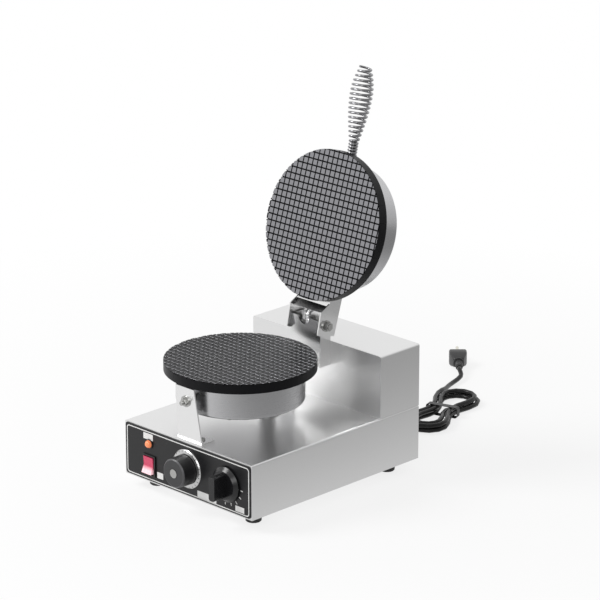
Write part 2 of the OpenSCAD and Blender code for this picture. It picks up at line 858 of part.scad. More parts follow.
module lamp_body() {
    color("dimgray") translate([switch_x, front_y - panel_t, foot_h + lamp_z]) {
        translate([0, -1.5, 0]) difference() {
            along_y(7, 1.5);
            translate([0, -cut, 0]) along_y(5.6, 4);
        }
        along_y(lamp_r, 24);
        translate([0, panel_t + sheet_t, 0]) difference() {
            along_y(7.5, 3, 6);
            translate([0, -cut, 0]) along_y(lamp_r + fit, 6);
        }
        for (s = [-1, 1]) translate([s * 2.5, 24, -0.4]) cube([0.8, 7, 3]);
    }
}

module lamp_lens() {
    dome = 5.5;
    color("orange") translate([switch_x, front_y - panel_t, foot_h + lamp_z])
        rotate([90, 0, 0]) rotate_extrude() intersection() {
            union() {
                square([dome, 2]);
                translate([0, 1.2]) circle(r = dome);
            }
            square([dome, 9]);
        }
}

module switch_body() {
    body_l = 24;
    cavity_h = 2 * rocker_half_h + 3.2;
    color([0.07, 0.07, 0.07]) translate([switch_x, front_y - panel_t, foot_h + switch_z])
        difference() {
            union() {
                rotate([90, 0, 0]) linear_extrude(bezel_t) round_rect(bezel_w, bezel_h, 1.5);
                translate([0, body_l / 2 - 0.5, -switch_cut_h / 2])
                    block([switch_cut_w, body_l + 1, switch_cut_h]);
            }
            translate([0, 2.5, -cavity_h / 2]) block([rocker_w + 2 * slack, 13, cavity_h]);
            translate([-rocker_w / 2 - 1.2, pivot_in, 0])
                along_x(rocker_pin_r + fit, rocker_w + 2.4, 32);
        }
    color("goldenrod") translate([switch_x, front_y + body_l - 1, foot_h + switch_z])
        for (x = [-6, 6])
            for (z = [-9, 0, 9]) translate([x - 2.4, 0, z - 0.4]) cube([4.8, 8, 0.8]);
}

// Rocker that tips on a pin across the switch; drawn pressed at its top
module switch_rocker() {
    h = rocker_half_h;
    color("crimson") translate([switch_x, front_y - panel_t + pivot_in, foot_h + switch_z])
        rotate([-rocker_tilt, 0, 0]) {
            translate([-rocker_w / 2, 0, 0]) rotate([90, 0, 90]) linear_extrude(rocker_w)
                polygon([[-7.5, h], [-4.6, 0], [-7.5, -h], [0, -h + 1], [3.5, -3], [3.5, 3], [0, h - 1]]);
            translate([-rocker_w / 2 - 1, 0, 0]) along_x(rocker_pin_r, rocker_w + 2, 32);
        }
}

// Body of a rotary control behind the panel, with a bush through the front and a blind shaft bore
module control_body(x, box) {
    translate([x, front_y, foot_h + knob_z]) difference() {
        union() {
            translate([0, sheet_t + box[1] / 2, -box[2] / 2]) block(box);
            translate([0, -panel_t, 0]) along_y(bush_r, panel_t + sheet_t + 1);
        }
        translate([0, -5, 0]) along_y(shaft_r + 0.08, 20);
    }
}

module control_screws(x) {
    control_screw_places(x) translate([0, 0, panel_t])
        pan_screw(panel_t + sheet_t, 1.5, 2.8, 1.2);
}

module timer_body() {
    color("ivory") control_body(timer_x, timer_box);
}

module timer_screws() {
    color("silver") control_screws(timer_x);
}

module timer_scale() {
    color("silver") translate([timer_x, front_y - panel_t, foot_h + knob_z])
        rotate([90, 0, 0]) rotate_extrude() polygon([
            [scale_in, 0], [scale_r, 0], [scale_r, 1], [scale_r - 1.5, scale_t - 0.6],
            [timer_knob_r + 1.5, scale_t], [scale_in, scale_t]
        ]);
}

module control_shaft(x, out) {
    translate([x, front_y - out + 5, foot_h + knob_z]) along_y(shaft_r, out + 5, 32);
}

module timer_shaft() {
    color("silver") control_shaft(timer_x, timer_knob_out);
}

module timer_knob() {
    back = panel_t + scale_t + 0.8;
    l = timer_knob_out - back;
    color([0.15, 0.15, 0.15]) translate([timer_x, front_y - back, foot_h + knob_z])
        rotate([90, 0, 0]) difference() {
            rotate_extrude() polygon([
                [0, 0], [timer_knob_r, 0], [timer_knob_r - 0.8, l - 1.5],
                [timer_knob_r - 2.3, l], [7.2, l], [6.6, l - 1], [0, l - 1]
            ]);
            translate([0, 0, -cut]) cylinder(r = shaft_r + fit, h = l - 4 + cut, $fn = 32);
        }
}

module timer_knob_cap() {
    color("silver") translate([timer_x, front_y - timer_knob_out + 1, foot_h + knob_z])
        rotate([90, 0, 0]) cylinder(r = 6.4, h = 1.4);
}

module thermostat_body() {
    color("tan") control_body(thermostat_x, thermostat_box);
}

module thermostat_screws() {
    color("silver") control_screws(thermostat_x);
}

module thermostat_shaft() {
    color("silver") control_shaft(thermostat_x, grip_out);
}

// Skirted knob with a bar grip across it
module thermostat_knob() {
    back = panel_t + 1.8;
    skirt_l = 6;
    l = grip_out - back;
    color([0.08, 0.08, 0.08]) translate([thermostat_x, front_y - back, foot_h + knob_z])
        rotate([90, 0, 0]) difference() {
            union() {
                rotate_extrude() polygon([
                    [0, 0], [skirt_r, 0], [skirt_r, 1.5], [skirt_r - 4, skirt_l - 1],
                    [skirt_r - 5, skirt_l], [0, skirt_l]
                ]);
                translate([0, 0, skirt_l - 1]) linear_extrude(l - skirt_l + 1)
                    round_rect(11, 34, 3);
            }
            translate([0, 0, -cut]) cylinder(r = shaft_r + fit, h = l - 4 + cut, $fn = 32);
        }
}

// Sensing bulb behind the lower griddle and its thin tube down to the thermostat
module thermostat_bulb() {
    bulb_r = 3;
    tube_r = 1;
    z = face_z - griddle_t - bulb_r;
    pts = smooth_route([
        [30, griddle_y + 20, z], [36, griddle_y + 22, z], [38, griddle_y + 30, z],
        [28, griddle_y + 42, z], [10, griddle_y + capillary_in - 1, z - 1],
        [4, griddle_y + capillary_in, z - 8], [4, griddle_y + capillary_in, z - 30],
        [4, griddle_y + capillary_in, base_top - 15], [20, conduit_y - 30, base_top - 34],
        [60, front_y + 90, base_top - 36], [thermostat_x, front_y + 60, base_top - 36],
        [thermostat_x, front_y + sheet_t + thermostat_box[1] + 0.1, base_top - 36]
    ], 2);
    color("darkgoldenrod") {
        translate([-30, griddle_y + 20, z]) along_x(bulb_r, 60.5, 32);
        tube(pts, same([0.2, 0.3, 1], len(pts)), tube_r, 6);
    }
}

block_x = -60;
block_in = 60;
pole_step = 11;
pole_up = 8;
pole_h = 6;
module terminal_block() {
    color("white") translate([block_x, rear_y - block_in, ledge_z]) {
        difference() {
            block([5 * pole_step + 5, 20, 2 * pole_up]);
            for (i = [-2:2]) translate([i * pole_step, 0, pole_up])
                block([pole_step - 3, 21, pole_up + cut]);
        }
    }
    color("goldenrod") translate([block_x, rear_y - block_in, ledge_z + pole_up])
        for (i = [-2:2]) translate([i * pole_step, 0, 0]) block([pole_step - 4, 18, pole_h]);
}

wires_up = 30;
// Mains and control wires inside the base
module wiring() {
    r = 1.4;
    z = ledge_z + wires_up;
    gland_in = [gland_x, rear_y - sheet_t - 8.8, gland_z];
    block_top = ledge_z + pole_up + pole_h + 0.7;
    routes = [
        [gland_in, [-10, rear_y - 25, gland_z + 4], [-30, rear_y - 40, gland_z + 6],
            [block_x + 2 * pole_step, rear_y - block_in + 8, block_top + 10],
            [block_x + 2 * pole_step, rear_y - block_in + 2, block_top]],
        [[block_x - 2 * pole_step, rear_y - block_in, block_top], [-84, rear_y - 70, z],
            [-86, 60, z], [-84, -60, z],
            [switch_x + 6, front_y + 50, z], [switch_x + 6, front_y + 32, foot_h + switch_z + 9]],
        [[block_x - pole_step, rear_y - block_in, block_top], [-70, rear_y - 74, z], [-60, 40, z],
            [-30, -60, z + 6],
            [timer_x - 8, front_y + 50, z + 12], [timer_x - 8, front_y + 28, z + 12]],
        [[block_x, rear_y - block_in, block_top], [-56, rear_y - 74, z], [-20, 60, z - 4],
            [30, -40, z - 8], [thermostat_x - 12, front_y + 50, z - 4],
            [thermostat_x - 12, front_y + 32, z - 4]]
    ];
    color("firebrick") for (route = routes) {
        pts = smooth_route(route, 3);
        tube(pts, same([0.9, 0.1, 0.2], len(pts)), r, 6);
    }
}

// Flexible metal sleeve with the upper heater's wires, drawn as it lies with the lid open. It rises
// in the middle of the gap between the bracket's plate and the housing
sleeve_hole_z = -46;
sleeve_mid = (sleeve_back - bracket_front + bracket_t) / 2;
sleeve_bend = sleeve_back - sleeve_mid;
sleeve_points = [
    hinge_point(sleeve_back + 6, sleeve_hole_z),
    hinge_point(sleeve_back, sleeve_hole_z),
    hinge_point(sleeve_back - sleeve_bend * sin(45), sleeve_hole_z + sleeve_bend * (1 - cos(45))),
    hinge_point(sleeve_mid, sleeve_hole_z + sleeve_bend),
    hinge_point(sleeve_mid, -28),
    hinge_point((sleeve_mid - 2) / 2, -16),
    hinge_point(-2, -4),
    hinge_point(-4.5, 5),
    hinge_point(-2.5, 13),
    lid_point(-26, 6),
    lid_point(-34, sleeve_drum_z - 0.3),
    lid_point(-42, sleeve_drum_z),
    lid_point(-hinge_reach + drum_r - drum_t - 3, sleeve_drum_z)
];

module wire_sleeve() {
    pts = smooth_route(sleeve_points, 3);
    color("silver") tube(pts, same([1, 0, 0], len(pts)), sleeve_r - 0.1, 12);
}

module cord_gland() {
    wall = rear_y;
    color([0.07, 0.07, 0.07]) translate([gland_x, wall, gland_z]) difference() {
        union() {
            translate([0, -sheet_t - 8, 0]) along_y(gland_hole_r, sheet_t + 9);
            along_y(10, 3);
            translate([0, 3, 0]) rotate([-90, 0, 0])
                cylinder(r1 = 7, r2 = cord_dia / 2 + 1, h = gland_l - 3);
        }
        translate([0, gland_l - 8, 0]) along_y(cord_dia / 2 + fit, 9);
    }
}

module upper_griddle() {
    color(griddle_black) upper_frame() griddle(upper_rim, upper_head);
}

module upper_drum() {
    color("silver") difference() {
        upper_frame() drum(upper_head);
        handle_frame() translate([0, 0, -12]) cylinder(r = stud_r + fit, h = 24);
        lid_frame() translate([0, -hinge_reach + drum_r - 12, sleeve_drum_z])
            along_y(sleeve_r + fit, 14);
        rivet_places() translate([0, 0, -9]) cylinder(r = rivet_r + fit, h = 20, $fn = 32);
    }
}

module upper_heater() {
    color("dimgray") upper_frame() heater();
}

module upper_clamp_plate() {
    color("silver") upper_frame() clamp_plate();
}

module upper_clamp_screws() {
    color("silver") upper_frame() clamp_screws();
}

module upper_insulation() {
    color(wool_white) upper_frame() insulation(upper_head)
        translate([0, -drum_r, -cut]) block([30, 36, drum_r]);
}

module upper_drum_screws() {
    color("silver") upper_frame() drum_screws(upper_head);
}

rivet_r = 2;
rivet_deg = 10;
// The rivets' places on the drum's wall, each pointing outwards
module rivet_places() {
    for (a = [-1, 1])
        for (z = [4, 15])
            lid_frame() translate([0, -hinge_reach, z]) rotate([0, 0, 90 + a * rivet_deg])
                translate([drum_r, 0, 0]) rotate([0, 90, 0]) children();
}

// Side view of the lid bracket's ear beside the hinge line: y back, z up, with the lid shut
module lid_ear_2d() {
    polygon([
        [-hinge_reach + drum_r - 8, -web_low], [-web_bend - 4, -web_low],
        [-web_end - 1, -ear_low - 1.5], [ear_rear - 1, -ear_low + 1.5], [ear_rear, -8],
        [ear_rear - 2.5, ear_high], [-hinge_reach + drum_r - 8, ear_high]
    ]);
}

module lid_bracket() {
    color("gainsboro") lid_frame() difference() {
        union() {
            for (s = [-1, 1])
                translate([s * (ear_in + bracket_t / 2) - bracket_t / 2, 0, 0])
                    rotate([90, 0, 90]) linear_extrude(bracket_t) lid_ear_2d();
            translate([-ear_out, 0, 0]) rotate([90, 0, 90]) linear_extrude(2 * ear_out)
                polygon([
                    [-hinge_reach + drum_r - 8, -web_low], [-web_bend, -web_low],
                    [-web_end, -web_low - web_drop], [-web_end, -web_low - web_drop + bracket_t],
                    [-web_bend, -web_low + bracket_t], [-hinge_reach + drum_r - 8, -web_low + bracket_t]
                ]);
            translate([-ear_out, -hinge_reach + drum_r - 8, ear_high - bracket_t])
                cube([2 * ear_out, hinge_reach - drum_r + 8 + ear_rear - 6, bracket_t]);
            intersection() {
                translate([0, -hinge_reach, -web_low])
                    cylinder(r = drum_r + fit + tab_t, h = web_low + ear_high, $fn = 128);
                translate([0, -hinge_reach + drum_r, -web_low])
                    block([2 * ear_out, 40, web_low + ear_high]);
            }
        }
        translate([0, -hinge_reach, -50]) cylinder(r = drum_r + fit, h = 100, $fn = 128);
        translate([-ear_out - cut, 0, 0]) along_x(bolt_r + fit, 2 * ear_out + 2 * cut);
        translate([0, -hinge_reach + drum_r - 12, sleeve_drum_z]) along_y(sleeve_r + fit, 24);
        for (a = [-1, 1])
            for (z = [4, 15])
                translate([0, -hinge_reach, z]) rotate([0, 0, 90 + a * rivet_deg])
                    translate([drum_r - 5, 0, 0]) along_x(rivet_r + fit, 20, 32);
    }
}

module lid_bracket_rivets() {
    head_h = 1.4;
    color("silver") rivet_places() {
        translate([0, 0, -drum_t - 0.3]) cylinder(r = rivet_r, h = drum_t + tab_t + 0.6, $fn = 32);
        translate([0, 0, tab_t + fit + 0.2]) cylinder(r = 3.4, h = head_h, $fn = 32);
        translate([0, 0, -drum_t - head_h - 0.2]) cylinder(r = 3.4, h = head_h, $fn = 32);
    }
}

stud_r = 3.5;
// The handle's axis, from the drum's wall outwards
module handle_frame() {
    upper_frame() translate([0, -drum_r, handle_back]) rotate([90 + handle_lean, 0, 0]) children();
}

module handle_stud() {
    color("dimgray") handle_frame() {
        translate([0, 0, -8]) cylinder(r = stud_r, h = 8 + spring_stub_l + 6);
        translate([0, 0, stud_washer_z]) difference() {
            cylinder(r = 7.2, h = stud_washer_t);
            translate([0, 0, -cut]) cylinder(r = stud_r + fit, h = 4);
        }
        translate([0, 0, -6.5]) difference() {
            cylinder(r = 6, h = 4.5, $fn = 6);
            translate([0, 0, -cut]) cylinder(r = stud_r + fit, h = 8);
        }
    }
}

// The handle's spring: close turns on the stud, then an open belly that narrows to its tip
stub_curls = 6.5;
stub_pitch = 4.2;
belly_curls = 16;
rings_a_curl = 8;
stud_washer_z = 0.7;
stud_washer_t = 1.5;
spring_foot = stud_washer_z + stud_washer_t + 0.1;
spring_stub_l = stub_curls * stub_pitch;
spring_belly_l = handle_l - spring_foot - spring_stub_l - 1.2 * wire_dia;
belly_peak = 0.66;
tip_share = 0.2;
function belly(u) =
    u < belly_peak ? sin(90 * u / belly_peak)
    : 1 - (1 - tip_share) * pow((u - belly_peak) / (1 - belly_peak), 1.8);
function spring_z(c) =
    c < stub_curls ? c * stub_pitch
    : spring_stub_l + (c - stub_curls) * spring_belly_l / belly_curls;
function spring_r(c) =
    c < stub_curls ? spring_low_r
    : spring_low_r + (spring_wide_r - spring_low_r) * belly((c - stub_curls) / belly_curls);
spring_wound = [
    for (i = [0:(stub_curls + belly_curls) * rings_a_curl])
        let (c = i / rings_a_curl, a = 360 * c)
            [spring_r(c) * cos(a), spring_r(c) * sin(a), spring_foot + wire_dia / 2 + spring_z(c)]
];
spring_last = len(spring_wound) - 1;
spring_tip_dir = unit(spring_wound[spring_last] - spring_wound[spring_last - 1]);
spring_pts = concat(
    [spring_wound[0] - [0, wire_dia, 0]],
    spring_wound,
    [spring_wound[spring_last] + wire_dia * spring_tip_dir]
);
spring_ups = [for (p = spring_pts) [p[0], p[1], 0]];

module handle_spring() {
    color("silver") handle_frame() tube(spring_pts, spring_ups, wire_dia / 2, 6);
}

// The hank of cord on the floor behind the base: y out along it, x across it
hank_at = [5, 345];
hank_turn = 18;
hank_low = cord_dia / 2 + tie_t + 0.1;
lower_loops = 1.5;
upper_loops = 1.25;
steps_run = 6;
steps_bend = 6;
steps_loop = 2 * (steps_run + steps_bend);
function loop_part(t) = (t - floor(t + 0.0001)) * steps_loop;
function hank_offset(t) =
    t <= lower_loops ? lower_loops - t
    : t <= lower_loops + 0.5 ? -2.5 * (t - lower_loops) * (1 - 2 * (t - lower_loops))
    : t - lower_loops - 0.5;
function hank_level(t) =
    let (s = (t - lower_loops) * steps_loop / steps_run)
        s <= 0 ? 0 : s >= 1 ? 1 : (1 - cos(180 * s)) / 2;
function pinched(x) = hank_pinch * pow(cos(90 * x / hank_half), 2);
function hank_local(t) =
    let (
        s = loop_part(t),
        w = hank_wide + hank_offset(t) * hank_step,
        z = hank_low + hank_level(t) * hank_rise
    )
    s < steps_run
    ? let (x = hank_half * (2 * s / steps_run - 1)) [x, w - pinched(x), z]
    : s < steps_run + steps_bend
    ? let (a = 90 - 180 * (s - steps_run) / steps_bend)
        [hank_half + w * cos(a), w * sin(a), z]
    : s < 2 * steps_run + steps_bend
    ? let (x = hank_half * (1 - 2 * (s - steps_run - steps_bend) / steps_run))
        [x, -w + pinched(x), z]
    : let (a = -90 - 180 * (s - 2 * steps_run - steps_bend) / steps_bend)
        [-hank_half + w * cos(a), w * sin(a), z];
function hank_place(p) = [
    hank_at[0] - p[0] * sin(hank_turn) - p[1] * cos(hank_turn),
    hank_at[1] + p[0] * cos(hank_turn) - p[1] * sin(hank_turn),
    p[2]
];
hank_loops = lower_loops + 0.5 + upper_loops;
hank_inner = [for (i = [0:hank_loops * steps_loop]) hank_local(i / steps_loop)];
hank_path = concat(
    [hank_inner[0] - [cord_dia, 0, 0]],
    hank_inner,
    [hank_inner[len(hank_inner) - 1] + [cord_dia, 0, 0]]
);
hank_pts = [for (p = hank_path) hank_place(p)];
hank_start = hank_pts[0];
hank_end = hank_pts[len(hank_pts) - 1];
hank_dir = [-sin(hank_turn), cos(hank_turn), 0];

module cord_hank() {
    color([0.06, 0.06, 0.06])
        tube(hank_pts, same([0, 0, 1], len(hank_pts)), cord_dia / 2, 6);
}

gland_exit = [gland_x, rear_y + gland_l - 8, gland_z];
lead_points = [
    gland_exit + [0, 9, 0],
    [5, 204, 35.5],
    [6, 218, 31],
    [6, 232, 21],
    hank_start - 30 * hank_dir + [2, 0, 7],
    hank_start - 14 * hank_dir + [0, 0, 0.6],
    hank_start - 7 * hank_dir
];
plug_turn = 45;
plug_dir = [-sin(plug_turn), cos(plug_turn), 0];
plug_at = [-94, 490, 11.5];
tail_points = [
    hank_end + 7 * hank_dir,
    hank_end + 24 * hank_dir + [-2, 0, -3.5],
    hank_end + 48 * hank_dir + [-7, 0, -7],
    plug_at - 24 * plug_dir + [1, 0, -5],
    plug_at - 8 * plug_dir
];
lead_route = concat([gland_exit], smooth_route(lead_points, 2), [hank_start]);
tail_route = concat([hank_end], smooth_route(tail_points, 3), [plug_at]);

module power_cord() {
    color([0.06, 0.06, 0.06]) {
        tube(lead_route, same([0, 0, 1], len(lead_route)), cord_dia / 2, 8);
        tube(tail_route, same([0, 0, 1], len(tail_route)), cord_dia / 2, 8);
    }
}

module cord_tie() {
    tie_w = 9;
    half = hank_wide - hank_pinch + lower_loops * hank_step + cord_dia / 2 + 0.6;
    h = hank_low + hank_rise + cord_dia / 2 + 0.3 + tie_t;
    color([0.1, 0.1, 0.1]) translate([hank_at[0], hank_at[1], h / 2])
        rotate([90, 0, hank_turn]) translate([0, 0, -tie_w / 2]) linear_extrude(tie_w) difference() {
            round_rect(2 * (half + tie_t), h, cord_dia / 2 + tie_t);
            round_rect(2 * half, h - 2 * tie_t, cord_dia / 2);
        }
}

// Moulded plug lying on the floor, pointing away from the cord
module plug_frame() {
    translate(plug_at) rotate([0, 0, plug_turn]) rotate([-90, 0, 0]) children();
}

plug_w = 27;
plug_t = 2 * plug_at[2];
plug_relief_l = 20;
plug_l = 54;
plug_head_l = 14;
pin_in = 6;

// The plug's moulding: a relief, a collar, and a body that widens towards the pins
module plug_body() {
    color([0.06, 0.06, 0.06]) plug_frame() difference() {
        union() {
            cylinder(r1 = cord_dia / 2 + 1, r2 = cord_dia / 2 + 2.2, h = plug_relief_l + 1);
            translate([0, 0, plug_relief_l]) cylinder(r = plug_t / 2 - 3, h = 3);
            hull() {
                translate([0, 0, plug_relief_l + 1]) linear_extrude(1)
                    round_rect(0.55 * plug_w, 0.6 * plug_t, 5, $fn = 32);
                translate([0, 0, plug_l - plug_head_l]) linear_extrude(plug_head_l)
                    round_rect(plug_w, plug_t, 6, $fn = 32);
            }
        }
        for (x = [-1, 1])
            translate([x * 6.35, 3, plug_l - pin_in]) block([1.5 + 0.1, 6.3 + 0.1, pin_in + 3]);
        translate([0, -6, plug_l - pin_in]) cylinder(r = 2.4 + fit, h = pin_in + 3);
    }
}

module plug_pins() {
    color("silver") plug_frame() {
        for (x = [-1, 1]) translate([x * 6.35, 3, plug_l - pin_in]) block([1.5, 6.3, pin_in + 17]);
        translate([0, -6, plug_l - pin_in]) cylinder(r = 2.4, h = pin_in + 20);
    }
}

echo(spring_gap = self_gap(halves(spring_pts), 10) - wire_dia);
echo(hank_gap = self_gap(halves(hank_pts), 8) - cord_dia);
echo(cord_length = route_length(lead_route) + route_length(hank_pts) + route_length(tail_route));
echo(hank_start = hank_start, hank_end = hank_end, hinge = [hinge_y, hinge_z], face_z = face_z);

base_shell();
bottom_plate();
bottom_screws();
feet();
foot_screws();
front_panel();
rear_housing();
housing_screws();
front_bracket();
front_bracket_bolt();
rear_support();
rear_support_bolt();
lower_conduit();
lower_griddle();
lower_drum();
lower_heater();
lower_clamp_plate();
lower_clamp_screws();
lower_insulation();
lower_drum_screws();
hinge_bracket();
hinge_bracket_screws();
hinge_bolts();
lamp_body();
lamp_lens();
switch_body();
switch_rocker();
timer_body();
timer_scale();
timer_screws();
timer_shaft();
timer_knob();
timer_knob_cap();
thermostat_body();
thermostat_screws();
thermostat_shaft();
thermostat_knob();
thermostat_bulb();
terminal_block();
wiring();
wire_sleeve();
cord_gland();
upper_griddle();
upper_drum();
upper_heater();
upper_clamp_plate();
upper_clamp_screws();
upper_insulation();
upper_drum_screws();
lid_bracket();
lid_bracket_rivets();
handle_stud();
handle_spring();
power_cord();
cord_hank();
cord_tie();
plug_body();
plug_pins();
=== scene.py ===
# %% [markdown]
# # A cone baker in Blender
# The machine is a low stainless base with two round griddles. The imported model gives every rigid
# piece in its place, so this lesson adds the light, the finishes, and the pieces whose beauty is
# in fine shapes: the waffle squares, the spring handle, the wire sleeve and the mains cord.

# %% Load the machine
import math
import bpy
import bmesh
from mathutils import Matrix, Vector


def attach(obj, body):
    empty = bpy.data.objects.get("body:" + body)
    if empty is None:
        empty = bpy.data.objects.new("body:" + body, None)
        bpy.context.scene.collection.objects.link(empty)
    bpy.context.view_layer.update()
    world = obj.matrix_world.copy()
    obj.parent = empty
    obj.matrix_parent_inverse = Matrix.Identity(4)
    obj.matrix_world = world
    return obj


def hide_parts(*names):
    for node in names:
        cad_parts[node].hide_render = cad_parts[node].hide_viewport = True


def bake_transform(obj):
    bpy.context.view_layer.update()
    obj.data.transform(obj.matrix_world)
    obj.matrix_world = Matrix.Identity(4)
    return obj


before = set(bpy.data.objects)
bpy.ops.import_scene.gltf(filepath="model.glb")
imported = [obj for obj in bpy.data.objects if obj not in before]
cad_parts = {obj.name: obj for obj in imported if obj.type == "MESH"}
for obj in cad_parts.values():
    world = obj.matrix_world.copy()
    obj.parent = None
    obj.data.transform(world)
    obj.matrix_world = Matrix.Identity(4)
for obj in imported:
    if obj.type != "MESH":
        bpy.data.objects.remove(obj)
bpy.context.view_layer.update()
mm = 0.001
print("machine loaded, pieces:", len(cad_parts))

# %% [markdown]
# ## The places that everything hangs on
# The same few sizes drive the whole machine, so they are named once, in metres. The lid is drawn
# open: each of its pieces is made as if shut, and then one turn about the hinge leans it back.

# %% Sizes and the lid's turn
front_y, rear_y, housing_d = -0.163, 0.163, 0.078
panel_face = front_y - 0.001
griddle_y, face_z, griddle_r = -0.062, 0.1915, 0.1055
hinge = Vector((0, 0.074, 0.2117))
lid_open = math.radians(107)
shut_gap, hinge_rise, hinge_reach = 0.0015, 0.0202, 0.136
drum_r, upper_head, lower_head = 0.089, 0.058, 0.0575
handle_up, handle_lean = 0.032, math.radians(94.5)

lid_turn = Matrix.Translation(hinge) @ Matrix.Rotation(-lid_open, 4, "X")
upper_turn = lid_turn @ Matrix.Translation((0, -hinge_reach, shut_gap - hinge_rise))
face_down = Matrix.Scale(-1, 4, (0, 0, 1))
lower_turn = Matrix.Translation((0, griddle_y, face_z))
handle_turn = (upper_turn @ Matrix.Translation((0, -drum_r, handle_up))
               @ Matrix.Rotation(handle_lean, 4, "X"))
print("lid leans back by", round(math.degrees(lid_open)), "degrees")

# %% [markdown]
# ## The camera
# The photograph looks down at the right front corner with a long lens, which keeps the base's
# edges almost parallel. The camera stands far away at the same angle.

# %% Camera
looks_down, turned_right = math.radians(18.77), math.radians(44.84)
camera = bpy.data.objects.new("camera", bpy.data.cameras.new("camera"))
bpy.context.scene.collection.objects.link(camera)
camera.data.lens, camera.data.sensor_width = 200.75, 36
camera.data.clip_end = 50
camera.location = (3.09184, -3.05562, 1.73755)
camera.rotation_euler = (math.radians(90) - looks_down, 0, turned_right)
bpy.context.scene.camera = camera
print("camera height", camera.location.z)

# %% [markdown]
# ## The mains cord
# A 7 mm mains cord leaves the gland at the back, comes down to the floor in a short curve, is
# folded into a hank tied at its waist, and ends in a plug. The hank's loops follow a formula:
# they lie side by side in two layers and draw in at the tie. A curve is the natural way to make
# it, because its own line is the cord's middle. The bevel of a curve is one metre deep here, and
# the radius of each point scales it to the real thickness, which keeps the curve's bounds true.

# %% The hank's loops
cord_d = 0.007
hank_at, hank_turn = Vector((0.005, 0.345, 0)), math.radians(18)
hank_half, hank_wide, hank_pinch = 0.053, 0.021, 0.014
hank_step, hank_rise, hank_low = 0.0088, 0.0076, 0.0044
low_loops, all_loops, loop_steps = 1.5, 3.25, 24
cross_dip = 2.5


def hank_offset(t):
    """How many cord steps the loop lies outwards of the first, after t loops."""
    past = t - low_loops
    if past <= 0:
        return -past
    return -cross_dip * past * (1 - 2 * past) if past <= 0.5 else past - 0.5


def hank_level(t):
    """0 in the lower layer and 1 in the upper one, with a soft rise between them."""
    s = (t - low_loops) * 4
    return 0 if s <= 0 else 1 if s >= 1 else (1 - math.cos(math.pi * s)) / 2


def hank_point(t):
    """A loop has four parts: two long runs, drawn in at the tie, and two round ends."""
    s = (t + 1e-6) % 1 * 4
    w = hank_wide + hank_offset(t) * hank_step
    z = hank_low + hank_level(t) * hank_rise
    part, f = int(s), s % 1
    side = 1 if part < 2 else -1
    if part % 2:
        a = math.radians(90 * side - 180 * f)
        x = hank_half * side + w * math.cos(a)
        y = w * math.sin(a)
    else:
        x = hank_half * (2 * f - 1) * side
        y = (w - hank_pinch * math.cos(math.pi / 2 * x / hank_half) ** 2) * side
    c, n = math.cos(hank_turn), math.sin(hank_turn)
    return hank_at + Vector((-x * n - y * c, x * c - y * n, z))


hank_dir = Vector((-math.sin(hank_turn), math.cos(hank_turn), 0))
hank = [hank_point(i / loop_steps) for i in range(int(all_loops * loop_steps) + 1)]
hank = [hank[0] - cord_d * hank_dir] + hank + [hank[-1] + cord_d * hank_dir]
print("hank points", len(hank))


# %% The cord's route
def smooth_route(points, steps):
    """A soft line through the points, with a number of steps from each to the next."""
    p = [Vector(v) for v in points]
    route = []
    for i in range(len(p) - 1):
        a, b, c, d = p[max(i - 1, 0)], p[i], p[i + 1], p[min(i + 2, len(p) - 1)]
        for k in range(steps):
            t = k / steps
            route.append((2 * b + (c - a) * t + (2 * a - 5 * b + 4 * c - d) * t * t
                          + (3 * b - a - 3 * c + d) * t ** 3) / 2)
    return route + [p[-1]]


gland_exit = Vector((0.005, rear_y + 0.022, 0.036))
lead = [gland_exit] + smooth_route([
    gland_exit + Vector((0, 0.009, 0)), (0.005, 0.204, 0.0355), (0.006, 0.218, 0.031),
    (0.006, 0.232, 0.021), hank[0] - 0.03 * hank_dir + Vector((0.002, 0, 0.007)),
    hank[0] - 0.014 * hank_dir + Vector((0, 0, 0.0006)), hank[0] - 0.007 * hank_dir], 2)
plug_turn = math.radians(45)
plug_dir = Vector((-math.sin(plug_turn), math.cos(plug_turn), 0))
plug_at = Vector((-0.094, 0.49, 0.0115))
tail = smooth_route([
    hank[-1] + 0.007 * hank_dir, hank[-1] + 0.024 * hank_dir + Vector((-0.002, 0, -0.0035)),
    hank[-1] + 0.048 * hank_dir + Vector((-0.007, 0, -0.007)),
    plug_at - 0.024 * plug_dir + Vector((0.001, 0, -0.005)), plug_at - 0.008 * plug_dir,
], 3) + [plug_at]
cord_route = lead + hank + tail
cord_length = sum((b - a).length for a, b in zip(cord_route, cord_route[1:]))
print("cord length", round(cord_length, 3))


# %% A tube along a route, as a curve
def curve_along(name, points, radius, radii=None, sides=3):
    curve = bpy.data.curves.new(name, "CURVE")
    curve.dimensions, curve.bevel_depth, curve.bevel_resolution = "3D", 1.0, sides
    curve.use_fill_caps, curve.twist_mode = True, "MINIMUM"
    line = curve.splines.new("POLY")
    line.points.add(len(points) - 1)
    for i, (spot, p) in enumerate(zip(line.points, points)):
        spot.co = (*p, 1)
        spot.radius = radius * (radii[i] if radii else 1)
    line.use_smooth = True
    piece = bpy.data.objects.new(name, curve)
    bpy.context.scene.collection.objects.link(piece)
    return piece


cord = curve_along("mains_cord", cord_route, cord_d / 2)
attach(cord, "base")
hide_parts("power_cord", "cord_hank")
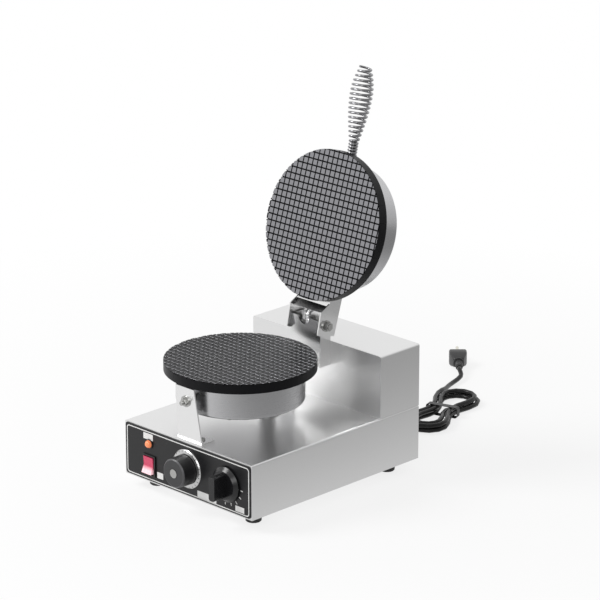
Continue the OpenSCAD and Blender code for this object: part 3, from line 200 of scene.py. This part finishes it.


# %% [markdown]
# ## From a bmesh to a piece of the machine
# Every shape below starts as a bmesh. This helper closes its seams, turns its faces outwards,
# rounds its shading up to a chosen angle, and lets it ride on the body that carries it. A piece
# that runs between two bodies has none of its own.

# %% Finishing a mesh
def to_piece(name, bm, body, slot, stands_for=(), round_to=35):
    bmesh.ops.remove_doubles(bm, verts=bm.verts, dist=1e-6)
    bmesh.ops.recalc_face_normals(bm, faces=bm.faces)
    mesh = bpy.data.meshes.new(name)
    bm.to_mesh(mesh)
    bm.free()
    mesh.shade_smooth()
    mesh.set_sharp_from_angle(angle=math.radians(round_to))
    piece = bpy.data.objects.new(name, mesh)
    bpy.context.scene.collection.objects.link(piece)
    if body:
        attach(piece, body)
    if stands_for:
        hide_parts(*stands_for)
    print(name, "faces", len(mesh.polygons))
    return piece


def curve_to_piece(curve, name, *details):
    bm = bmesh.new()
    bpy.context.view_layer.update()
    solid = curve.evaluated_get(bpy.context.view_layer.depsgraph)
    bm.from_mesh(bpy.data.meshes.new_from_object(solid))
    bpy.data.objects.remove(curve)
    return to_piece(name, bm, *details)


# %% [markdown]
# ## The waffle griddles
# Each griddle is a cast plate with a grid of squares on its face. A grid of cells gives the
# squares: an inset makes the groove's floor, a second one with depth makes the sloping wall, and
# a third rounds the square's edge. Planes then trim the grid to a circle, so the grooves run out
# through the edge as they do on a turned casting, and the open edge is drawn down into the rim.
# The faces carry three finishes: the coating, the tops of the squares, and their rounded edges.
# On the lower plate the edges are bright as a painted highlight, and on the upper plate the tops
# are a lighter grey as a painted reflection.

# %% Cells cut to a circle
waffle_pitch, waffle_groove, waffle_deep = 9 * mm, 2.6 * mm, 2.2 * mm
cells, facets = 25, 120
wall_slope, square_round = 0.35 * mm, 0.3 * mm
coated, on_top, on_edge = 0, 1, 2


def waffle_face():
    bm = bmesh.new()
    bmesh.ops.create_grid(bm, x_segments=cells, y_segments=cells, size=cells * waffle_pitch / 2)
    bmesh.ops.translate(bm, verts=bm.verts, vec=(0, 0, -waffle_deep))
    far = [f for f in bm.faces if f.calc_center_median().to_2d().length > griddle_r + waffle_pitch]
    bmesh.ops.delete(bm, geom=far, context="FACES")
    tops = bm.faces[:]
    floor_half = waffle_groove / 2 - wall_slope - square_round / 2
    for thick, rise in ((floor_half, 0), (wall_slope, waffle_deep - square_round),
                        (square_round, square_round)):
        made = bmesh.ops.inset_individual(bm, faces=tops, thickness=thick, depth=rise)["faces"]
    for face in made:
        face.material_index = on_edge
    for top in tops:
        top.material_index = on_top
    edge_r = griddle_r * math.cos(math.pi / facets)
    for k in range(facets):
        a = 2 * math.pi * (k + 0.5) / facets
        out = Vector((math.cos(a), math.sin(a), 0))
        bmesh.ops.bisect_plane(
            bm, geom=bm.verts[:] + bm.edges[:] + bm.faces[:], dist=1e-7,
            plane_co=out * edge_r, plane_no=out, clear_outer=True)
    return bm


# %% Rim, back, posts and bosses
griddle_t, skirt_t = 10 * mm, 4 * mm
lower_rim, upper_rim = 14 * mm, 16 * mm
heater_posts = (3, 90, 30 * mm, 6 * mm, 18 * mm)
drum_bosses, head_gap = (4, 35, 79 * mm, 5 * mm), 1 * mm
post_sink = 0.2 * mm


def open_edges(bm, among=None):
    return [e for e in (among or bm.edges) if e.is_boundary]


def draw_ring(bm, edges, grow, z):
    """Extrude an open edge once, flatten it, widen it and put it at the height z."""
    made = bmesh.ops.extrude_edge_only(bm, edges=edges)["geom"]
    verts = [g for g in made if isinstance(g, bmesh.types.BMVert)]
    bmesh.ops.scale(bm, vec=(grow, grow, 0), verts=verts)
    bmesh.ops.translate(bm, vec=(0, 0, z), verts=verts)
    return open_edges(bm, [g for g in made if isinstance(g, bmesh.types.BMEdge)])


def pin(bm, r, low, high, x, y, sides=24):
    bmesh.ops.create_cone(
        bm, cap_ends=True, segments=sides, radius1=r, radius2=r, depth=high - low,
        matrix=Matrix.Translation((x, y, (low + high) / 2)))


def griddle(name, turn, rim, head, body, node):
    bm = waffle_face()
    squares = set(bm.faces)
    edge = draw_ring(bm, open_edges(bm), 1, -rim)
    edge = draw_ring(bm, edge, (griddle_r - skirt_t) / griddle_r, -rim)
    edge = draw_ring(bm, edge, 1, -griddle_t)
    bmesh.ops.contextual_create(bm, geom=edge)
    for face in set(bm.faces) - squares:
        face.material_index = coated
    for count, first, ring, r, low in (heater_posts, (*drum_bosses, head - head_gap)):
        for k in range(count):
            a = math.radians(first + k * 360 / count)
            pin(bm, r, -low, post_sink - griddle_t, ring * math.cos(a), ring * math.sin(a))
    bmesh.ops.transform(bm, matrix=turn, verts=bm.verts)
    return to_piece(name, bm, body, "griddle_coating", (node,))


lower_plate = griddle(
    "lower_waffle_plate", lower_turn, lower_rim, lower_head, "base", "lower_griddle")
upper_plate = griddle(
    "upper_waffle_plate", upper_turn @ face_down, upper_rim, upper_head, "lid", "upper_griddle")

# %% [markdown]
# ## The spring handle
# The handle is one wire, wound close on its stud and then into an open belly that stays cool.
# The coil's radius follows a sine up to its widest turn and falls away to the tip, so one loop
# over small angles gives every point of the wire.

# %% Winding the spring
wire_r, spring_foot = 1.7 * mm, 2.3 * mm
stub_curls, stub_pitch, belly_curls, belly_l = 6.5, 4.2 * mm, 16, 104.32 * mm
low_r, wide_r, belly_peak, tip_share, tip_fall = 5.6 * mm, 14.9 * mm, 0.66, 0.2, 1.8
curl_steps = 28


def spring_point(c):
    """The wire's middle after c curls."""
    u = (c - stub_curls) / belly_curls
    if u < 0:
        r, z = low_r, c * stub_pitch
    else:
        swell = (math.sin(math.pi / 2 * u / belly_peak) if u < belly_peak
                 else 1 - (1 - tip_share) * ((u - belly_peak) / (1 - belly_peak)) ** tip_fall)
        r, z = low_r + (wide_r - low_r) * swell, stub_curls * stub_pitch + u * belly_l
    a = 2 * math.pi * c
    return handle_turn @ Vector((r * math.cos(a), r * math.sin(a), spring_foot + wire_r + z))


turns = int((stub_curls + belly_curls) * curl_steps)
wound = [spring_point(i / curl_steps) for i in range(turns + 1)]
wound += [wound[-1] + (wound[-1] - wound[-2]).normalized() * 2 * wire_r]
spring = curve_to_piece(
    curve_along("spring_wire", wound, wire_r, sides=2),
    "spring_handle", "lid", "handle_wire", ("handle_spring",), 80)

# %% [markdown]
# ## The wire sleeve
# A flexible metal sleeve carries the upper heater's wires from the housing into the lid. It is
# wound from strip, so its radius swells and shrinks along its length. Its line starts among points
# fixed to the base and ends among points turned with the open lid, with a smooth curve between.

# %% Ribs along the sleeve
sleeve_r, rib_pitch, rib_sink = 3.9 * mm, 2.2 * mm, 0.84
plate_ahead, hole_z = 0.0073, -0.046
sleeve_back = rear_y - housing_d - hinge.y
sleeve_mid = (sleeve_back - plate_ahead) / 2
sleeve_bend = sleeve_back - sleeve_mid
half_bend = math.radians(45)
at_hinge = [(sleeve_back + 0.006, hole_z), (sleeve_back, hole_z),
            (sleeve_back - sleeve_bend * math.sin(half_bend),
             hole_z + sleeve_bend * (1 - math.cos(half_bend))),
            (sleeve_mid, hole_z + sleeve_bend), (sleeve_mid, -0.028),
            ((sleeve_mid - 0.002) / 2, -0.016), (-0.002, -0.004), (-0.0045, 0.005),
            (-0.0025, 0.013)]
on_lid = [(-0.026, 0.006), (-0.034, 0.0087), (-0.042, 0.009), (-0.051, 0.009)]
coarse = smooth_route(
    [hinge + Vector((0, y, z)) for y, z in at_hinge]
    + [lid_turn @ Vector((0, y, z)) for y, z in on_lid], 24)


def even_steps(points, step):
    """The same line, cut into steps of one length."""
    spaced, left = [points[0]], step
    for a, b in zip(points, points[1:]):
        span, gone = (b - a).length, 0.0
        while span - gone >= left:
            gone += left
            spaced.append(a.lerp(b, gone / span))
            left = step
        left -= span - gone
    return spaced + [points[-1]]


sleeve_line = even_steps(coarse, rib_pitch / 4)
rib_profile = (1, 0.97, rib_sink, 0.97)
ribs = [rib_profile[i % 4] for i in range(len(sleeve_line))]
sleeve = curve_to_piece(
    curve_along("sleeve_line", sleeve_line, sleeve_r, ribs, sides=2),
    "flexible_sleeve", None, "sleeve_foil", ("wire_sleeve",), 60)
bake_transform(sleeve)

# %% [markdown]
# ## The plug
# The moulded plug widens from its relief to the face with the pins. A box gives the body: one
# cut across it, a scale at its narrow end and a broad bevel turn it into a moulding. The relief
# and its collar are rings drawn out one after another.

# %% Moulding the plug
plug_frame = (Matrix.Translation(plug_at) @ Matrix.Rotation(plug_turn, 4, "Z")
              @ Matrix.Rotation(-math.pi / 2, 4, "X"))
plug_w, plug_t, relief_l, plug_l, head_l = 27 * mm, 23 * mm, 20 * mm, 54 * mm, 14 * mm
narrow_end, plug_round = (0.56, 0.62, 1), 3.2 * mm
relief_ribs, rib_step, rib_from = 5, 3.4, 2.5
collar = [(6, 20), (8.2, 20.4), (8.5, 21.2), (8.5, 22.2), (8, 23), (6, 23.6)]


def lathe_rings(bm, rings, sides=32):
    """Draw a closed turned shape through (radius, height) pairs, from its first end to its last."""
    first_r, first_z = rings[0]
    made = bmesh.ops.create_circle(bm, segments=sides, radius=first_r,
                                   matrix=Matrix.Translation((0, 0, first_z)))["verts"]
    edge = list({e for v in made for e in v.link_edges})
    bmesh.ops.contextual_create(bm, geom=edge)
    r_now = first_r
    for r, z in rings[1:]:
        out = bmesh.ops.extrude_edge_only(bm, edges=edge)["geom"]
        verts = [g for g in out if isinstance(g, bmesh.types.BMVert)]
        bmesh.ops.scale(bm, vec=(r / r_now, r / r_now, 0), verts=verts)
        bmesh.ops.translate(bm, vec=(0, 0, z), verts=verts)
        edge, r_now = [g for g in out if isinstance(g, bmesh.types.BMEdge) and g.is_boundary], r
    bmesh.ops.contextual_create(bm, geom=edge)


def plug_shape():
    bm = bmesh.new()
    bmesh.ops.create_cube(bm, size=1)
    body_from = relief_l + 1 * mm
    bmesh.ops.scale(bm, vec=(plug_w, plug_t, plug_l - body_from), verts=bm.verts)
    bmesh.ops.translate(bm, vec=(0, 0, (plug_l + body_from) / 2), verts=bm.verts)
    bmesh.ops.bisect_plane(bm, geom=bm.verts[:] + bm.edges[:] + bm.faces[:], dist=1e-7,
                           plane_co=(0, 0, plug_l - head_l), plane_no=(0, 0, 1))
    low = [v for v in bm.verts if v.co.z < body_from + mm]
    bmesh.ops.scale(bm, vec=narrow_end, verts=low)
    bmesh.ops.bevel(bm, geom=bm.edges[:], offset=plug_round, segments=5, profile=0.5,
                    affect="EDGES", material=-1)
    steps = [(4.4, 0), (4.5, 0.5)]
    for k in range(relief_ribs):
        z, inner, outer = rib_from + k * rib_step, 4.7 + k * 0.2, 5.5 + k * 0.1
        steps += [(inner, z), (outer, z + 0.5), (outer, z + 2.2), (inner + 0.1, z + 2.7)]
    lathe_rings(bm, [(r * mm, z * mm) for r, z in steps + collar])
    bmesh.ops.transform(bm, matrix=plug_frame, verts=bm.verts)
    return bm


plug = to_piece("moulded_plug", plug_shape(), "base", "cord_black", ("plug_body",), 50)

# %% [markdown]
# ## The print on the panel
# A white line runs round the panel, blank white labels sit beside the controls, and short marks
# stand round the thermostat. Print has almost no height, but a skin under a tenth of a millimetre
# keeps its edges sharp, so each mark is a thin plate on the panel's face.

# %% Line, labels and marks
print_t, line_t = 0.08 * mm, 1.4 * mm
line_mid, line_w, line_h, line_corner = 56, 241, 70, 5
labels = ((-87, -68, 79, 88), (-60, -48, 27.5, 36.5), (20, 57, 22, 32), (94, 111, 23.4, 31.5))
timer_at, thermostat_at = (0, 57.5), (78, 57.5)
tick_ring, tick_l, tick_w, tick_corner = 28.5, 4.5, 1.1, 0.3
tick_angles = (-5, -28, -51, -74, -97)
panel_turn = Matrix.Translation((0, panel_face, 0)) @ Matrix.Rotation(math.pi / 2, 4, "X")


def thin_plate(bm, x, z, w, h, corner=0.6, turn=0.0):
    """A flat rectangle with round corners, in millimetres on the panel, middle at x and z."""
    before = set(bm.faces)
    made = bmesh.ops.create_grid(bm, x_segments=1, y_segments=1, size=0.5 * mm)["verts"]
    bmesh.ops.scale(bm, vec=(w, h, 1), verts=made)
    bmesh.ops.bevel(bm, geom=made, offset=corner * mm, segments=6, profile=0.5,
                    affect="VERTICES", material=-1)
    face = [f for f in bm.faces if f not in before]
    verts = list({v for f in face for v in f.verts})
    where = Matrix.Translation((x * mm, z * mm, 0)) @ Matrix.Rotation(turn, 4, "Z")
    bmesh.ops.transform(bm, matrix=where, verts=verts)
    return face


def raise_print(bm, faces):
    made = bmesh.ops.extrude_face_region(bm, geom=faces)["geom"]
    raised = [g for g in made if isinstance(g, bmesh.types.BMVert)]
    bmesh.ops.translate(bm, vec=(0, 0, print_t), verts=raised)


bm = bmesh.new()
inside = thin_plate(bm, 0, line_mid, line_w, line_h, line_corner)
bmesh.ops.inset_region(bm, faces=inside, thickness=line_t, use_boundary=True, use_even_offset=True)
bmesh.ops.delete(bm, geom=inside, context="FACES")
raise_print(bm, list(bm.faces))
for x0, x1, z0, z1 in labels:
    raise_print(bm, thin_plate(bm, (x0 + x1) / 2, (z0 + z1) / 2, x1 - x0, z1 - z0))
for degrees in tick_angles:
    a = math.radians(degrees)
    raise_print(bm, thin_plate(
        bm, thermostat_at[0] + tick_ring * math.cos(a), thermostat_at[1] + tick_ring * math.sin(a),
        tick_l, tick_w, tick_corner, a))
bmesh.ops.transform(bm, matrix=panel_turn, verts=bm.verts)
panel_print = to_piece("panel_print", bm, "base", "panel_black")

# %% [markdown]
# ## Light and floor
# The photograph has a white sweep and broad soft light from the left. One large lamp stands
# front left and above with a weak one at the right, the sky fills the rest, and the floor keeps
# only the machine's shadow. Steel mirrors all this white, so a reflected ray sees a floor and a
# sky that grow darker to the right. That is what gives the right-hand sides their grey.

# %% A socket that can be reckoned with
class Field:
    """A socket whose value can be added, multiplied and compared like a number."""

    def __init__(self, paint, socket):
        self.paint, self.socket = paint, socket

    def maths(self, operation, *values):
        return self.paint.node("Math", {"operation": operation}, dict(enumerate(values)))

    def __add__(self, other):
        return self.maths("ADD", self, other)

    def __sub__(self, other):
        return self.maths("SUBTRACT", self, other)

    def __rsub__(self, other):
        return self.maths("SUBTRACT", other, self)

    def __mul__(self, other):
        return self.maths("MULTIPLY", self, other)

    def __gt__(self, other):
        return self.maths("GREATER_THAN", self, other)

    def __pow__(self, other):
        return self.maths("POWER", self, other)

    def __abs__(self):
        return self.maths("ABSOLUTE", self)

    __radd__, __rmul__ = __add__, __mul__


class Paint:
    """One material: its nodes are added by kind, settings and inputs."""

    def __init__(self, name, owner=None):
        self.material = owner or bpy.data.materials.new(name)
        self.material.use_nodes = True
        self.tree = self.material.node_tree
        self.tree.nodes.clear()

    def node(self, kind, settings=None, inputs=None, out=0):
        made = self.tree.nodes.new("ShaderNode" + kind)
        for key, value in (settings or {}).items():
            setattr(made, key, value)
        for key, value in (inputs or {}).items():
            if isinstance(value, Field):
                self.tree.links.new(value.socket, made.inputs[key])
            else:
                made.inputs[key].default_value = value
        return Field(self, made.outputs[out]) if len(made.outputs) else made

    def place(self, scale=(1, 1, 1), shift=(0, 0, 0)):
        spot = self.node("TexCoord", out=3)
        return self.node("Mapping", {}, {"Vector": spot, "Scale": scale, "Location": shift})

    def along(self, axis, where=None):
        """One number of a place: 0, 1 or 2 for X, Y or Z."""
        return self.node("SeparateXYZ", {}, {0: where or self.place()}, out=axis)

    def span(self, value, low, high, at_low=0.0, at_high=1.0):
        """Run from at_low to at_high while the value runs from low to high."""
        return self.node("MapRange", {}, {
            "Value": value, "From Min": low, "From Max": high, "To Min": at_low, "To Max": at_high})

    def noise(self, where, scale=1.0, detail=2.0):
        return self.node("TexNoise", {}, {"Vector": where, "Scale": scale, "Detail": detail})

    def mix(self, amount, a, b):
        return self.node("Mix", {"data_type": "RGBA"}, {0: amount, 6: a, 7: b}, out=2)

    def bump(self, height, depth, strength=1.0):
        return self.node("Bump", {}, {"Height": height, "Distance": depth, "Strength": strength})

    def finish(self, **sockets):
        """Close the material with one skin. Base_Color stands for the socket Base Color."""
        names = {k.replace("_", " "): v for k, v in sockets.items()}
        skin = self.node("BsdfPrincipled", {}, names)
        self.node("OutputMaterial", {}, {"Surface": skin})
        return self.material


# %% The floor
floor_half_w = 12
bm = bmesh.new()
bmesh.ops.create_grid(bm, x_segments=1, y_segments=1, size=floor_half_w)
floor_mesh = bpy.data.meshes.new("floor")
bm.to_mesh(floor_mesh)
bm.free()
floor = bpy.data.objects.new("floor", floor_mesh)
floor.location.z = -0.0002
bpy.context.scene.collection.objects.link(floor)

camera_ray, glossy_ray = 0, 3
near_glow = 0.78
pure_white, floor_grey = (1, 1, 1, 1), (0.93, 0.93, 0.93, 1)
paint = Paint("floor_white")
middle = paint.place(shift=(0, -0.05, 0))
away = paint.node("VectorMath", {"operation": "LENGTH"}, {0: middle}, out=1)
far = paint.span(away, 0.35, 1.1)
seen = paint.node("LightPath", out=camera_ray)
plain = paint.node("BsdfDiffuse", {}, {"Color": floor_grey})
glow = paint.node("Emission", {}, {"Color": pure_white, "Strength": 1.0})
dim = paint.span(paint.along(0), -0.1, 0.5, 0.95, 0.36)
mirrored = paint.node("Emission", {}, {"Color": pure_white, "Strength": dim})
glossy = paint.node("LightPath", out=glossy_ray)
white_share = seen * (near_glow + far * (1 - near_glow))
shown = paint.node("MixShader", {}, {0: white_share, 1: plain, 2: glow})
shown = paint.node("MixShader", {}, {0: glossy, 1: shown, 2: mirrored})
paint.node("OutputMaterial", {}, {"Surface": shown})
floor_mesh.materials.append(paint.material)
print("floor laid, square of", 2 * floor_half_w, "m")

# %% The sky and the lamps
sky_base = 0.55
world = bpy.data.worlds.new("sky")
bpy.context.scene.world = world
sky = Paint("sky", world)
rays = sky.tree.nodes.new("ShaderNodeLightPath")
direct = Field(sky, rays.outputs["Is Camera Ray"])
gloss = Field(sky, rays.outputs["Is Glossy Ray"])
through = Field(sky, rays.outputs["Is Transmission Ray"])
white = direct + gloss + through
rightwards = sky.along(0, sky.node("TexCoord", out=0))
shade = sky.span(rightwards, 0.15, 0.85, 0, 0.5)
strength = sky.node("Clamp", {}, {"Value": sky_base + white * (1 - sky_base) - gloss * shade})
lit = sky.node("Background", {}, {"Color": pure_white, "Strength": strength})
sky.node("OutputWorld", {}, {"Surface": lit})


def soft_lamp(name, spot, aim, size, power):
    lamp = bpy.data.lights.new(name, "AREA")
    lamp.shape, lamp.size, lamp.energy = "DISK", size, power
    made = bpy.data.objects.new(name, lamp)
    made.location = spot
    made.rotation_euler = (Vector(aim) - Vector(spot)).to_track_quat("-Z", "Y").to_euler()
    bpy.context.scene.collection.objects.link(made)


soft_lamp("key", (-2.0, -1.9, 3.0), (0, 0, 0.15), 1.8, 80)
soft_lamp("fill", (1.8, -2.6, 1.4), (0, 0, 0.2), 1.6, 16)
bpy.context.scene.view_settings.view_transform = "Standard"
print("lamps", [lamp.name for lamp in bpy.data.lights])

# %% [markdown]
# ## Stainless steel
# The base, the housing, the brackets and both drums are satin sheet. Fine streaks in the sheet
# spread a reflection along one way, so the noise is stretched hard along that way.

# %% Sheet finishes
def satin(name, streaks, colour, rough, metal=1.0, depth=0.00002):
    paint = Paint(name)
    fine = paint.noise(paint.place(streaks), 1, 3)
    broad = paint.noise(paint.place((9, 9, 9)), 1, 2)
    worn = fine * 0.5 + broad * 0.5
    dark = (*[c * 0.97 for c in colour], 1)
    light = (*[min(c * 1.03, 1) for c in colour], 1)
    return paint.finish(
        Base_Color=paint.mix(worn, dark, light),
        Metallic=metal,
        Roughness=rough + (fine - 0.5) * 0.06,
        Normal=paint.bump(fine, depth, 0.1))


def dress(material, *names):
    """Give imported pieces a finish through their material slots."""
    for name in names:
        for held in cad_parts[name].material_slots:
            held.material = material
    print(material.name, "on", len(names), "packed pieces")


sheet_steel = satin("satin_sheet", (14, 900, 900), (0.76, 0.76, 0.76), 0.31, depth=0.000004)
drum_steel = satin("spun_drum", (40, 40, 2200), (0.52, 0.52, 0.53), 0.28)
bracket_steel = satin("satin_bracket", (900, 900, 20), (0.8, 0.8, 0.8), 0.22, depth=0.000004)
zinc = satin("bright_zinc", (400, 400, 400), (0.42, 0.42, 0.41), 0.24)
clamp_steel = satin("plain_steel", (60, 900, 900), (0.5, 0.5, 0.5), 0.4, 0.9)
dark_stud = satin("dark_thread", (300, 300, 900), (0.16, 0.16, 0.165), 0.4, 0.9)
# The chrome wire's dark colour stands in for the dark surroundings it mirrors: a painted
# reflection.
chrome_wire_painted_reflection = satin("chrome_wire_painted_reflection", (300, 300, 300), (0.3, 0.3, 0.31), 0.2)
foil = satin("sleeve_strip", (500, 500, 900), (0.66, 0.66, 0.67), 0.2)
brass = satin("bright_pins", (200, 900, 900), (0.7, 0.68, 0.6), 0.25)
copper = satin("drawn_copper", (400, 400, 400), (0.7, 0.38, 0.22), 0.35)
heater_skin = satin("heated_tube", (200, 200, 200), (0.12, 0.11, 0.1), 0.5, 0.8)

dress(sheet_steel, "base_shell", "rear_housing", "bottom_plate")
dress(drum_steel, "upper_drum", "lower_drum")
dress(clamp_steel, "upper_clamp_plate", "lower_clamp_plate", "lower_conduit")
dress(bracket_steel, "front_bracket", "rear_support", "hinge_bracket", "lid_bracket")
dress(zinc, "bottom_screws", "foot_screws", "housing_screws", "front_bracket_bolt",
      "rear_support_bolt", "lower_clamp_screws", "upper_clamp_screws", "lower_drum_screws",
      "upper_drum_screws", "hinge_bracket_screws", "hinge_bolts", "timer_screws",
      "thermostat_screws", "lid_bracket_rivets", "timer_shaft", "thermostat_shaft")
dress(dark_stud, "handle_stud")
dress(brass, "plug_pins")
dress(copper, "thermostat_bulb")
dress(heater_skin, "upper_heater", "lower_heater")
spring.data.materials.append(chrome_wire_painted_reflection)
sleeve.data.materials.append(foil)

# %% [markdown]
# ## Plastics, rubber and coatings
# Moulded plastic is never one flat tone: it has a faint cloudiness and a fine grain that breaks
# its highlights. One function takes the colour, the roughness and the grain, and the rest follows.

# %% Moulded finishes
def moulded(name, colour, rough=0.4, grain=900.0, depth=0.00004, vary=0.2, shine=0.5):
    paint = Paint(name)
    fine = paint.noise(paint.place(), grain, 2)
    broad = paint.noise(paint.place(), 30, 3)
    low = (*[c * (1 - vary) for c in colour], 1)
    high = (*[c * (1 + vary) for c in colour], 1)
    return paint.finish(
        Base_Color=paint.mix(broad, low, high),
        Roughness=rough + (broad - 0.5) * 0.12,
        Specular_IOR_Level=shine,
        Normal=paint.bump(fine, depth, 0.3))


feet_rubber = moulded("feet_rubber", (0.012, 0.012, 0.012), 0.6)
panel_film = moulded("panel_film", (0.01, 0.01, 0.011), 0.34, 1500, 0.00001, shine=0.35)
gloss_black = moulded("gloss_black", (0.006, 0.006, 0.007), 0.22, 700, 0.00001)
satin_black = moulded("satin_black", (0.012, 0.012, 0.013), 0.38)
cord_skin = moulded("cord_skin", (0.004, 0.004, 0.004), 0.3, 500, 0.00003, shine=0.28)
wool = moulded("ceramic_wool", (0.72, 0.69, 0.6), 0.95, 260, 0.0006)
beige = moulded("beige_moulding", (0.62, 0.56, 0.44), 0.5)
block_white = moulded("terminal_moulding", (0.75, 0.74, 0.7), 0.5)
wire_red = moulded("wire_insulation", (0.4, 0.05, 0.04), 0.45)
coating = moulded("griddle_coating", (0.004, 0.004, 0.005), 0.4, 600, 0.00003, shine=0.14)
lower_top = moulded("lower_square", (0.006, 0.006, 0.007), 0.34, 600, 0.00003, shine=0.1)
# The upper plate's squares are the same coating, painted a lighter grey as a painted reflection.
upper_top_painted_reflection = satin("upper_square_painted_reflection", (300, 300, 300), (0.27, 0.27, 0.285), 0.3)
# Bright metal on the rounded edges of the lower plate's squares: a painted highlight.
painted_highlight_edge = satin("painted_highlight_edge", (300, 300, 300), (0.5, 0.5, 0.52), 0.26)

dress(feet_rubber, "feet")
dress(panel_film, "front_panel")
dress(gloss_black, "thermostat_knob", "switch_body")
dress(satin_black, "cord_gland", "cord_tie", "lamp_body")
dress(wool, "upper_insulation", "lower_insulation")
dress(beige, "timer_body", "thermostat_body")
dress(block_white, "terminal_block")
dress(wire_red, "wiring")
cord.data.materials.append(cord_skin)
plug.data.materials.append(satin_black)
# The lower plate's edges carry the painted highlight and the upper plate's tops the painted
# reflection.
for plate, top, edge in ((lower_plate, lower_top, painted_highlight_edge), (upper_plate, upper_top_painted_reflection, coating)):
    for finish in (coating, top, edge):
        plate.data.materials.append(finish)

# %% [markdown]
# ## The dials, the lamp and the lit rocker
# The timer's ring is turned aluminium with dark marks. Its knob is black, with a paler rim on its
# face as a painted highlight. Both patterns come from the distance and the angle to the dial's
# own middle. The rocker is lit from inside, so its lower half is pale where the lamp shines
# through.

# %% Patterns about a dial
def about(paint, middle):
    """The distance and the angle to a dial's middle."""
    spot = paint.place(shift=(-middle[0] * mm, 0, -middle[1] * mm))
    x, z = paint.along(0, spot), paint.along(2, spot)
    return (x * x + z * z) ** 0.5, z.maths("ARCTAN2", z, x)


scale_marks, mark_share, mark_from, mark_to = 24, 0.06, 24.6 * mm, 27.2 * mm
paint = Paint("turned_scale")
r, a = about(paint, timer_at)
steps = a * (scale_marks / (2 * math.pi)) + (scale_marks + 0.5)
share = steps.maths("FRACT", steps)
mark = (mark_share - abs(share - 0.5) > 0) * (r > mark_from) * (mark_to - r > 0)
turned = paint.noise(paint.node("CombineXYZ", {}, {0: r * 2600}), 1, 2)
scale_metal = paint.finish(
    Base_Color=paint.mix(mark, paint.mix(turned, (0.5, 0.5, 0.5, 1), (0.68, 0.68, 0.68, 1)),
                         (0.03, 0.03, 0.03, 1)),
    Metallic=1.0, Roughness=0.24, Normal=paint.bump(turned, 0.00001, 0.2))

# %% The timer's knob
knob_front, highlight_from = panel_face - 24 * mm, 18.4 * mm
paint = Paint("timer_knob")
r, _ = about(paint, timer_at)
front = knob_front - paint.along(1) > 0
# A paler ring round the edge of the knob's face: a painted highlight.
rim = front * (r > highlight_from)
grain = paint.noise(paint.place(), 900, 2)
skin = paint.mix(front, (0.012, 0.012, 0.013, 1), (0.028, 0.028, 0.03, 1))
timer_black = paint.finish(
    Base_Color=paint.mix(rim, skin, (0.07, 0.07, 0.075, 1)),
    Roughness=0.36 + grain * 0.06, Normal=paint.bump(grain, 0.00003, 0.3))

# %% The lit rocker and the lamp
lit_top, lit_full = 0.042, 0.036
paint = Paint("lit_rocker")
lit_part = paint.span(paint.along(2), lit_top, lit_full)
ripple = paint.noise(paint.place((260, 1, 60)), 1, 2)
pale = paint.mix(ripple, (0.95, 0.45, 0.52, 1), (1, 0.93, 0.93, 1))
rocker_red = paint.finish(
    Base_Color=paint.mix(lit_part, (0.55, 0.03, 0.1, 1), pale),
    Emission_Color=paint.mix(lit_part, (0.16, 0.0, 0.02, 1), (0.5, 0.22, 0.26, 1)),
    Emission_Strength=0.55, Roughness=0.18 + ripple * 0.04, Coat_Weight=0.4)

paint = Paint("lamp_lens")
facets = paint.noise(paint.place(), 260, 2)
lamp_orange = paint.finish(
    Base_Color=paint.mix(facets, (0.8, 0.16, 0.05, 1), (0.95, 0.42, 0.2, 1)),
    Emission_Color=paint.mix(facets, (0.3, 0.04, 0.01, 1), (0.5, 0.14, 0.05, 1)),
    Emission_Strength=0.6, Roughness=0.16 + facets * 0.06)

dress(scale_metal, "timer_scale")
dress(zinc, "timer_knob_cap")
dress(timer_black, "timer_knob")
dress(rocker_red, "switch_rocker")
dress(lamp_orange, "lamp_lens")
white_print = moulded("white_print", (0.78, 0.78, 0.77), 0.45, 700, 0.000005, vary=0.03)
panel_print.data.materials.append(white_print)
